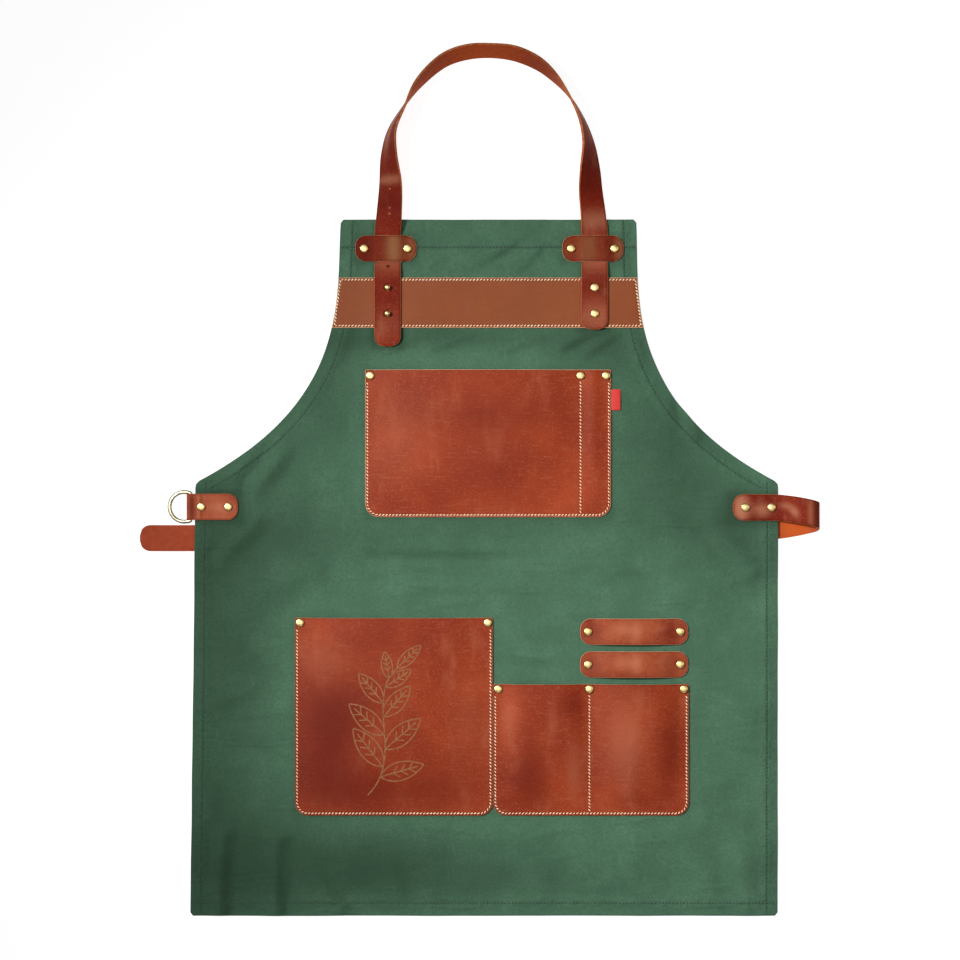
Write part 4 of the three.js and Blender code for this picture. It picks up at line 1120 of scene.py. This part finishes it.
# Each station of the loop: across the legs' spacing, up the reach, lean in degrees, stand on the canvas
NECK_LOOP = [
    (-0.984, 0.022, 16, 1), (-0.97, 0.2, 32, 0.12), (-0.984, 0.376, 54, 0), (-0.955, 0.517, 71, 0),
    (-0.839, 0.658, 83, 0), (-0.703, 0.792, 100, 0), (-0.456, 0.929, 110, 0), (-0.232, 0.978, 113, 0),
    (0, 0.986, 111, 0), (0.233, 0.969, 113, 0), (0.453, 0.91, 108, 0), (0.603, 0.834, 99, 0),
    (0.744, 0.729, 86, 0), (0.87, 0.588, 77, 0), (0.938, 0.446, 64, 0), (0.955, 0.29, 41, 0),
    (0.962, 0.164, 27, 0.2), (0.986, 0.022, 16, 1),
]
# Each hole: right of the studs, up from the bib's top, radius and depth, all in mm
HOLES = [(0.4, -54, 1.4, 50), (2.3, 13, 1.2, 1.2), (2.3, 6, 1.2, 1.2), (3.5, 40, 1.2, 1.2),
         (2.8, 34.5, 1.1, 1.2)]
keeper_low, keeper_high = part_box("strap_keeper_left")
strap_on_canvas = bib_top + GAP
strap_on_band = band_top + GAP
floor_z = canvas_low.z


def neck_leg(x, length):
    places = [
        (bib_y - length, strap_on_band), (bib_y - length + mm(11), strap_on_band),
        ((band_low.y + band_high.y) / 2, strap_on_band), (band_high.y - mm(5.6), strap_on_band),
        (band_high.y + mm(1), strap_on_band), (keeper_low.y - mm(1), strap_on_canvas),
        ((keeper_low.y * 3 + keeper_high.y) / 4, strap_on_canvas),
        ((keeper_low.y + keeper_high.y) / 2, strap_on_canvas), (keeper_high.y, strap_on_canvas),
    ]
    return [(x, y, low + NECK_THICKNESS / 2, 0) for y, low in places]


def neck_stations():
    loop = []
    for across, up, lean, stand in NECK_LOOP:
        angle = math.radians(lean)
        rise = (math.sin(angle) * NECK_WIDTH + abs(math.cos(angle)) * NECK_THICKNESS) / 2
        z = max(stand * strap_on_canvas, floor_z) + rise
        loop.append((neck_middle + across * neck_half, bib_y + up * NECK_REACH, z, angle))
    return neck_leg(stud_x, FOOT_LEFT) + loop + neck_leg(rivet_x, FOOT_RIGHT)[::-1]


def neck_side(tangent, line):
    inward = unit(np.stack([tangent[:, 1], -tangent[:, 0], np.zeros(len(tangent))], axis=1))
    lean = line[:, 3][:, None]
    return inward * np.cos(lean) + np.array([0, 0, 1.0]) * np.sin(lean)


def punch(obj, x, y, radius, material, depth):
    """Cut a round hole down from the face, its wall in the cutter's material."""
    points = points_of(obj)
    nearest = np.argsort(np.hypot(points[:, 0] - x, points[:, 1] - y))[:6]
    bottom = points[nearest, 2].max() - depth
    pick()
    bpy.ops.mesh.primitive_cylinder_add(
        vertices=20, radius=radius, depth=2 * THROUGH, location=(x, y, bottom + THROUGH))
    cutter = bpy.context.object
    dress(cutter, material)
    use_modifier(obj, "BOOLEAN", object=cutter, operation="DIFFERENCE", solver="EXACT",
                 material_mode="TRANSFER")
    bpy.data.objects.remove(cutter)


# Painted shade and painted sheen: across and along the strap, half width and half length in mm, and depth
NECK_SHADE = [
    (0, 165, 40, 20, 0.75), (0, 225, 40, 25, 0.4), (10, 285, 9, 50, 0.28), (0, 620, 40, 28, 0.66),
    (8, 545, 8, 40, 0.1), (0, 55, 12, 12, 0.25), (0, 332, 40, 45, 0.35), (0, 465, 40, 42, 0.6),
]
NECK_SHEEN = [
    (0, 25, 40, 26, 0.25), (0, 97, 40, 18, 0.35), (-6, 262, 8, 40, 0.78), (0, 192, 40, 7, 0.5),
    (-6, 532, 8, 36, 0.6), (0, 661, 40, 14, 0.5), (0, 706, 40, 20, 0.45), (0, 772, 40, 26, 0.42),
]
neck_strap = ribbon("neck_strap", neck_stations(), NECK_WIDTH, NECK_THICKNESS, neck_side, mm(11),
                    tones=NECK_SHADE, sheen_patches=NECK_SHEEN)
for x, y in rivet_spots("strap_stud"):
    punch(neck_strap, x, y, STUD_HOLE, STRAP_LEATHER, THROUGH)
for right, up, radius, depth in HOLES:
    punch(neck_strap, stud_x + mm(right), bib_y + mm(up), mm(radius), STRAP_EDGE, mm(depth))
shade(neck_strap)

# %% [markdown]
# The waist strap is riveted at the right corner. It bows up off the floor, turns over and comes back
# under the canvas, and its end lies out past the ring on the left. It is the same ribbon, whose width
# always points straight down the picture, so its edge is seen all round the bow.

# %% Waist strap
WAIST_OVERLAP = mm(49)
WAIST_REACH = mm(49)
WAIST_SLOPE = mm(13.6)
WAIST_BOW = mm(17.6)
UNDERSIDE = -0.335

# Each station of the bow, as shares of the reach, the slope and the bow: out, down the run, and up
WAIST_LOOP = [
    (0, 0.02, 0.01), (0.24, 0.08, 0.2), (0.55, 0.24, 0.58), (0.82, 0.44, 0.68), (0.98, 0.66, 0.38),
    (0.95, 0.92, -0.06), (0.7, 1.18, -0.3), (0.42, 1.38, UNDERSIDE), (0.05, 1.56, UNDERSIDE),
]


def waist_stations():
    run = rivet_spots("waist_rivet")[0][1]
    edge = middle + SKIRT_HALF
    top = strap_top + GAP + NECK_THICKNESS / 2
    low = waist_low.z + NECK_THICKNESS / 2
    front = [(edge - WAIST_OVERLAP, run, top), (edge - WAIST_OVERLAP + mm(12), run, top),
             (edge - 0.3 * WAIST_OVERLAP, run, top)]
    bow = []
    for out, down, up in WAIST_LOOP:
        z = low + (up - UNDERSIDE) * WAIST_BOW if up <= -0.3 else top + up * WAIST_BOW
        bow.append((edge + out * WAIST_REACH, run - down * WAIST_SLOPE, max(z, low)))
    tail = [(x, run - down * WAIST_SLOPE, low) for x, down in (
        (middle + 0.3 * SKIRT_HALF, 1.95), (middle - 0.4 * SKIRT_HALF, 2.35), (middle - SKIRT_HALF, 2.6),
        (waist_low.x + mm(12), 2.6), (waist_low.x, 2.6))]
    return front + bow + tail


def crosswise(sign):
    def side(tangent, line):
        return np.tile([0.0, sign, 0.0], (len(tangent), 1))
    return side


# Painted shade and painted sheen along the bow: across and along the strap, half width and half length in mm,
# and depth
WAIST_SHADE = [(0, 2, 40, 4, 0.3), (8, 58, 14, 10, 0.3), (0, 102, 40, 8, 0.6)]
WAIST_SHEEN = [
    (3, 34, 10, 12, 0.6), (-3, 62, 5, 9, 0.5), (3, 72, 6, 6, 0.6), (0, 90, 40, 4, 0.45),
    (0, 9, 20, 10, 0.85), (0, 135, 40, 24, 0.9),
]
ribbon("waist_strap", waist_stations(), NECK_WIDTH, NECK_THICKNESS, crosswise(-1), mm(12),
       flesh=SMOOTH_FLESH, tones=WAIST_SHADE, sheen_patches=WAIST_SHEEN)

# %% [markdown]
# The ring tab is a short strip folded round the ring's bar, seen from the front as a strip with one
# round end and one fold. It is the same ribbon, wrapped in a tight turn. The ring is bent from brass
# wire: a torus has no straight side, so it is a curve with a round bevel, turned into a mesh.

# %% Ring tab and ring
WIRE = mm(4.5)
RING_REACH = mm(29) - WIRE
RING_CORNER = mm(2.2)
ring_low, ring_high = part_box("d_ring")
ring_y = (tab_low.y + tab_high.y) / 2
bend = WIRE / 2 + GAP + LEATHER / 2
bar = Vector((tab_low.x + bend + LEATHER / 2, ring_y, tab_low.z + bend + LEATHER / 2))
front_z = strap_top + GAP + LEATHER / 2
back_z = strap_top - 2 * CLOTH - GAP - LEATHER / 2
tab_stations = [(tab_high.x, ring_y, front_z), (tab_high.x - mm(12), ring_y, front_z),
                (bar.x + mm(14), ring_y, front_z), (bar.x + mm(6), ring_y, front_z + mm(0.4))]
for degrees in (90, 125, 160, 195, 230, 270):
    angle = math.radians(degrees)
    tab_stations.append((bar.x + bend * math.cos(angle), ring_y, bar.z + bend * math.sin(angle)))
tab_stations += [(bar.x + mm(6), ring_y, back_z - mm(0.3)), (bar.x + mm(14), ring_y, back_z),
                 (tab_high.x - mm(12), ring_y, back_z), (tab_high.x, ring_y, back_z)]
# The tab's tables paint shade at its fold round the bar, and sheen along its front and at the fold.
ribbon("ring_tab", tab_stations, tab_high.y - tab_low.y, LEATHER, crosswise(1), mm(12), rows=120,
       leather=LOOP_LEATHER, tones=[(0, 53, 30, 4, 0.8), (0, 42, 30, 1.5, 0.6)],
       sheen_patches=[(0, 20, 8, 18, 0.55), (0, 45.5, 30, 1.3, 0.6)])


def ring_path():
    """A straight bar and a half circle, tipped down from the bar until it lies on the floor."""
    half = (ring_high.y - ring_low.y - WIRE) / 2
    drop = math.asin(min((bar.z - WIRE / 2 - floor_z) / RING_REACH, 1))
    cut = 0.3 * RING_CORNER
    points = [(0, s * (half - RING_CORNER)) for s in (-1, -0.6, -0.2, 0.2, 0.6, 1)]
    points.append((-cut, half - cut))
    for i in range(25):
        angle = math.pi * i / 24
        points.append((half - RING_REACH - half * math.sin(angle), half * math.cos(angle)))
    points.append((-cut, cut - half))
    return [(bar.x + px * math.cos(drop), bar.y + py, bar.z + px * math.sin(drop)) for px, py in points]


def wire(name, order, lines, radius, roundness, closed):
    """A mesh of round wires along these lines, each a straight or a smooth curve."""
    curve = bpy.data.curves.new(name, "CURVE")
    curve.dimensions = "3D"
    for line in lines:
        spline = curve.splines.new("NURBS" if order > 2 else "POLY")
        spline.points.add(len(line) - 1)
        for point, place in zip(spline.points, line):
            point.co = (*place, 1)
        if order > 2:
            spline.order_u = order
            spline.resolution_u = 4
        spline.use_cyclic_u = closed
    curve.bevel_depth = radius
    curve.bevel_resolution = roundness
    curve.use_fill_caps = not closed
    obj = bpy.data.objects.new(name, curve)
    bpy.context.scene.collection.objects.link(obj)
    pick(obj)
    bpy.ops.object.convert(target="MESH")
    return bpy.context.object


ring = wire("ring_wire", 3, [ring_path()], WIRE / 2, 5, True)
# Painted shade on the ring's flanks, where its normal turns sideways.
store(ring, "rim", [min(1, 1.3 * math.hypot(v.normal.x, v.normal.y)) for v in ring.data.vertices])
dress(ring, WIRE_BRASS)
shade(ring, 60)
finish_piece(ring, "d_ring")
print("ring", len(ring.data.polygons), "faces")

# %% [markdown]
# A rivet is two pressed brass cups: the cap has a rolled rim and a low dome, and its post is closed
# in a plate behind the cloth. A stud is a ball on a neck. Spin could turn them from a profile, but it
# leaves a seam, so each is a cylinder whose flat end is extruded and resized along its profile. One of
# each is modelled, and every copy gets its own mesh, stretched to the layers that it holds.

# %% Rivets
CAP = mm(4.9)
CAP_HEIGHT = mm(2.0)
BALL = mm(3.4)
BALL_HEIGHT = mm(6.0)


def select_flat_face(obj, z):
    bpy.ops.mesh.select_mode(type="FACE")
    bpy.ops.mesh.select_all(action="DESELECT")
    mesh = bmesh.from_edit_mesh(obj.data)
    for face in mesh.faces:
        face.select_set(abs(face.normal.z) > 0.9 and abs(face.calc_center_median().z - z) < mm(0.02))
    bmesh.update_edit_mesh(obj.data)


def turned(name, radius, profile, sides):
    """A disc drawn up through a profile of radius and height."""
    pick()
    bpy.ops.mesh.primitive_cylinder_add(
        vertices=sides, radius=radius, depth=mm(0.1), location=(0, 0, mm(0.05)))
    obj = bpy.context.object
    obj.name = name
    bpy.ops.object.transform_apply(location=True)
    bpy.ops.object.mode_set(mode="EDIT")
    z, r = mm(0.1), radius
    for next_r, next_z in profile:
        select_flat_face(obj, z)
        bpy.ops.mesh.extrude_region_move(TRANSFORM_OT_translate={"value": (0, 0, next_z - z)})
        bpy.ops.transform.resize(value=(next_r / r, next_r / r, 1), center_override=(0, 0, next_z))
        z, r = next_z, next_r
    bpy.ops.object.mode_set(mode="OBJECT")
    return obj


rivet_model = turned("rivet_model", CAP * 0.96, [
    (CAP, mm(0.45)), (CAP * 0.985, mm(0.85)), (CAP * 0.93, mm(1.22)), (CAP * 0.84, mm(1.5)),
    (CAP * 0.7, mm(1.72)), (CAP * 0.52, mm(1.87)), (CAP * 0.32, mm(1.96)), (CAP * 0.12, CAP_HEIGHT)], 36)
post_model = turned("post_model", mm(4), [
    (mm(4), mm(0.8)), (mm(3.6), mm(1.1)), (mm(1.5), mm(1.15)), (mm(1.5), mm(2))], 20)
ball_model = turned("ball_model", mm(2.2), [
    (mm(2.0), mm(0.3)), (mm(1.9), mm(1.4)), (mm(2.7), mm(2.1)), (mm(3.3), mm(3.0)), (BALL, mm(3.8)),
    (mm(3.2), mm(4.6)), (mm(2.7), mm(5.2)), (mm(2.0), mm(5.65)), (mm(1.1), mm(5.93)),
    (mm(0.4), BALL_HEIGHT)], 28)
print("rivet", len(rivet_model.data.polygons), "faces, ball", len(ball_model.data.polygons))


def copy_of(model):
    part = model.copy()
    part.data = model.data.copy()
    bpy.context.scene.collection.objects.link(part)
    return part, points_of(part)


def set_rivet(node, head_model, head_height, head_radius):
    low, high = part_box(node)
    centre = np.array([(low.x + high.x) / 2, (low.y + high.y) / 2, 0])
    seat = high.z - head_height
    rivet, head_points = copy_of(head_model)
    move_points(rivet, head_points + centre + (0, 0, seat))
    post, post_points = copy_of(post_model)
    post_points[:, 2] = np.where(post_points[:, 2] > mm(1.5), seat - low.z, post_points[:, 2])
    move_points(post, post_points + centre + (0, 0, low.z))
    pick(rivet)
    post.select_set(True)
    bpy.ops.object.join()
    rivet.name = node + "_brass"
    x, y = points_of(rivet)[:, :2].T
    # Painted shade on the cap, darker towards its rim.
    store(rivet, "rim", np.hypot(x - centre[0], y - centre[1]) / head_radius)
    dress(rivet, BRASS)
    shade(rivet, 50)
    finish_piece(rivet, node)


rivet_nodes = [name for name in sorted(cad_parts) if "rivet" in name or "stud" in name]
for name in rivet_nodes:
    if "stud" in name:
        set_rivet(name, ball_model, BALL_HEIGHT, BALL)
    else:
        set_rivet(name, rivet_model, CAP_HEIGHT, CAP)
for model in (rivet_model, post_model, ball_model):
    bpy.data.objects.remove(model)
print("rivets and studs", len(rivet_nodes))

# %% [markdown]
# The tab is a folded piece of woven tape caught in the pocket's side seam. It is left plain. A bare
# plane would look like paper, so it is a thin panel with a slight swell.

# %% Side tab
side_box = plan("side_tab")
side_tab = cut_panel("side_tab_tape", side_box, mm(0.8), mm(0.8), mm(2), seams=False)
tab_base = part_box("side_tab")[0].z


def tab_surface(x, y):
    u = (x - side_box[0]) / (side_box[2] - side_box[0])
    return tab_base + mm(1.2) + mm(0.5) * np.sin(np.pi * u) + mm(0.15) * np.sin((y - side_box[1]) / mm(4))


raise_panel(side_tab, tab_surface)
thicken(side_tab, mm(1.2), mm(0.4), TAPE, TAPE, TAPE)
finish_piece(side_tab, "side_tab")
print("side tab", len(side_tab.data.polygons), "faces")

# %% [markdown]
# A stitch is a short length of thread that dips into the leather at both ends. One is modelled from
# a small sphere, drawn out and slanted as a machine leaves it. An Array modifier would space copies
# along a line, but not sit them in a groove, so the stitch's points are repeated along each seam into
# one mesh, with their place, height and direction taken from the surface below.

# %% Stitches
PITCH = mm(3.88)
CREAM_SIZE = (mm(3.3), mm(1.45), mm(1.3))
SLANT = 35
JITTER = 0.06
HEM_PITCH = mm(4.1)
HEM_SIZE = (mm(2.5), mm(1.3), mm(0.8))
HEM_SLANT = 6

pick()
bpy.ops.mesh.primitive_uv_sphere_add(segments=8, ring_count=6, radius=0.5, location=(0, 0, 0))
stitch_model = bpy.context.object
bpy.ops.object.mode_set(mode="EDIT")
bpy.ops.mesh.select_all(action="SELECT")
bpy.ops.transform.rotate(value=math.radians(90), orient_axis="Y", center_override=(0, 0, 0))
bpy.ops.object.mode_set(mode="OBJECT")
stitch_points = points_of(stitch_model)
stitch_faces = [list(p.vertices) for p in stitch_model.data.polygons]
bpy.data.objects.remove(stitch_model)


def along_line(path, pitch):
    path = np.asarray(path, float)
    length = running(path)
    count = max(2, round(length[-1] / pitch))
    where = (np.arange(count) + 0.5) * length[-1] / count
    place, ahead, back = (
        np.stack([np.interp(where + offset, length, path[:, i]) for i in (0, 1)], axis=1)
        for offset in (0, mm(0.5), mm(-0.5)))
    heading = np.arctan2((ahead - back)[:, 1], (ahead - back)[:, 0])
    return place, heading


def sew(name, seams, surface, pitch=PITCH, size=CREAM_SIZE, slant=SLANT, material=CREAM_THREAD):
    rng = np.random.default_rng(3)
    vertices, faces = [], []
    for path in seams:
        place, heading = along_line(path, pitch)
        z = surface(place[:, 0], place[:, 1])
        for (px, py), pz, angle in zip(place, z, heading):
            turn = angle + math.radians(slant) + rng.normal(0, JITTER)
            stretch = np.array(size) * (1 + rng.normal(0, 0.05, 3))
            lx, ly, lz = (stitch_points * stretch).T
            c, s = math.cos(turn), math.sin(turn)
            start = len(vertices) * len(stitch_points)
            vertices.append(np.stack([px + lx * c - ly * s, py + lx * s + ly * c, pz + lz], axis=1))
            faces += [[start + i for i in face] for face in stitch_faces]
    mesh = bpy.data.meshes.new(name)
    mesh.from_pydata(np.concatenate(vertices).tolist(), [], faces)
    obj = bpy.data.objects.new(name, mesh)
    bpy.context.scene.collection.objects.link(obj)
    dress(obj, material)
    shade(obj, 80)
    finish_piece(obj, None)
    print(name, len(vertices), "stitches")


def rounded_u(box, radius, top_gap):
    left, bottom, right = box[0] + STITCH_INSET, box[1] + STITCH_INSET, box[2] - STITCH_INSET
    r = radius - STITCH_INSET
    path = [(left, box[3] - top_gap)]
    for corner_x, start in ((left + r, math.pi), (right - r, 1.5 * math.pi)):
        for i in range(9):
            angle = start + math.pi / 2 * i / 8
            path.append((corner_x + r * math.cos(angle), bottom + r + r * math.sin(angle)))
    return path + [(right, box[3] - top_gap)]


def divider(line, box, top_gap):
    return [(line, box[1] + mm(4)), (line, box[3] - top_gap)]


sew("chest_stitches", [rounded_u(chest_box, mm(16), mm(14)), divider(pen_line, chest_box, mm(13))],
    chest_surface)
sew("tool_stitches", [rounded_u(tool_box, mm(15), mm(13))], tool_surface)
sew("double_stitches", [rounded_u(double_box, mm(15), mm(13)), divider(double_line, double_box, mm(12))],
    double_surface)


def band_seams():
    """Between the feet of the neck strap, and down both ends."""
    rows = (band_low.y + STITCH_INSET, band_high.y - STITCH_INSET)
    foot = NECK_WIDTH / 2 + mm(0.8)
    reach = [float(half_width(y)) - BAND_SHORT - STITCH_INSET for y in rows]
    left, right = ([(middle_at(y) + sign * out, y) for y, out in zip(rows, reach)] for sign in (-1, 1))
    seams = []
    for (start, y), (end, _) in zip(left, right):
        stops = [start, stud_x - foot, stud_x + foot, rivet_x - foot, rivet_x + foot, end]
        seams += [[(stops[i], y), (stops[i + 1], y)] for i in (0, 2, 4)]
    return seams + [left, right]


sew("band_stitches", band_seams(), band_surface)
sew("hem_stitches", HEM_SEAMS, lambda x, y: canvas_top(x, y) - mm(0.1), HEM_PITCH, HEM_SIZE, HEM_SLANT,
    GREEN_THREAD)

# %% [markdown]
# The lower left pocket carries a pale engraving. This one is a plain leafy sprig, a common garden
# ornament: a bent stem with pairs of leaves, each an outline with a middle rib. Its lines are round
# wires pressed flat onto the pocket's surface, which shows them from the side as well.

# %% Sprig on the lower left pocket
def leaf(root, angle, length, width):
    ahead = np.array([math.cos(angle), math.sin(angle)])
    across = np.array([-ahead[1], ahead[0]])
    lines = []
    for side in (-1, 1):
        lines.append(bezier(root, root + ahead * length * 0.25 + across * side * width,
                            root + ahead * length * 0.7 + across * side * width * 0.8,
                            root + ahead * length, 14))
    lines.append(bezier(root, root + ahead * length * 0.3, root + ahead * length * 0.6,
                        root + ahead * length * 0.86, 8))
    for share in (0.3, 0.48, 0.66):
        start = root + ahead * length * share
        for side in (-1, 1):
            lines.append(np.array([start, start + ahead * length * 0.13 + across * side * width * 0.42]))
    return lines


def sprig_lines():
    centre = np.array([(tool_box[0] + tool_box[2]) / 2 - mm(8), (tool_box[1] + tool_box[3]) / 2 + mm(2)])
    stem = bezier(centre + (mm(-22), mm(-92)), centre + (mm(22), mm(-50)), centre + (mm(-26), mm(20)),
                  centre + (mm(12), mm(54)), 40)
    lines = [stem]
    for index, (share, side, length) in enumerate([
            (0.16, 1, 52), (0.25, -1, 56), (0.38, 1, 54), (0.48, -1, 54), (0.61, 1, 47), (0.70, -1, 44),
            (0.83, 1, 36), (0.90, -1, 31)]):
        at = int(share * 39)
        direction = stem[at + 1] - stem[at - 1]
        angle = math.atan2(direction[1], direction[0]) - side * math.radians(52 - 2 * index)
        lines += leaf(stem[at], angle, mm(length), mm(length * 0.3))
    tip = stem[-1] - stem[-2]
    return lines + leaf(stem[-1], math.atan2(tip[1], tip[0]), mm(38), mm(10))


flat_lines = [[(px, py, 0) for px, py in line] for line in sprig_lines()]
sprig = wire("pocket_sprig", 2, flat_lines, mm(0.75), 1, False)
points = points_of(sprig)
points[:, 2] = tool_surface(points[:, 0], points[:, 1]) + points[:, 2] * 0.16
move_points(sprig, points)
dress(sprig, BRANDED)
shade(sprig, 60)
finish_piece(sprig, None)
print("sprig", len(sprig.data.polygons), "faces")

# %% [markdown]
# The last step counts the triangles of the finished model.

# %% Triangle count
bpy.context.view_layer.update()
meshes = [piece.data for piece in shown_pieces() if piece.type == "MESH"]
triangles = sum(len(mesh.loop_triangles) or 2 * len(mesh.polygons) for mesh in meshes)
print("about", triangles, "triangles")
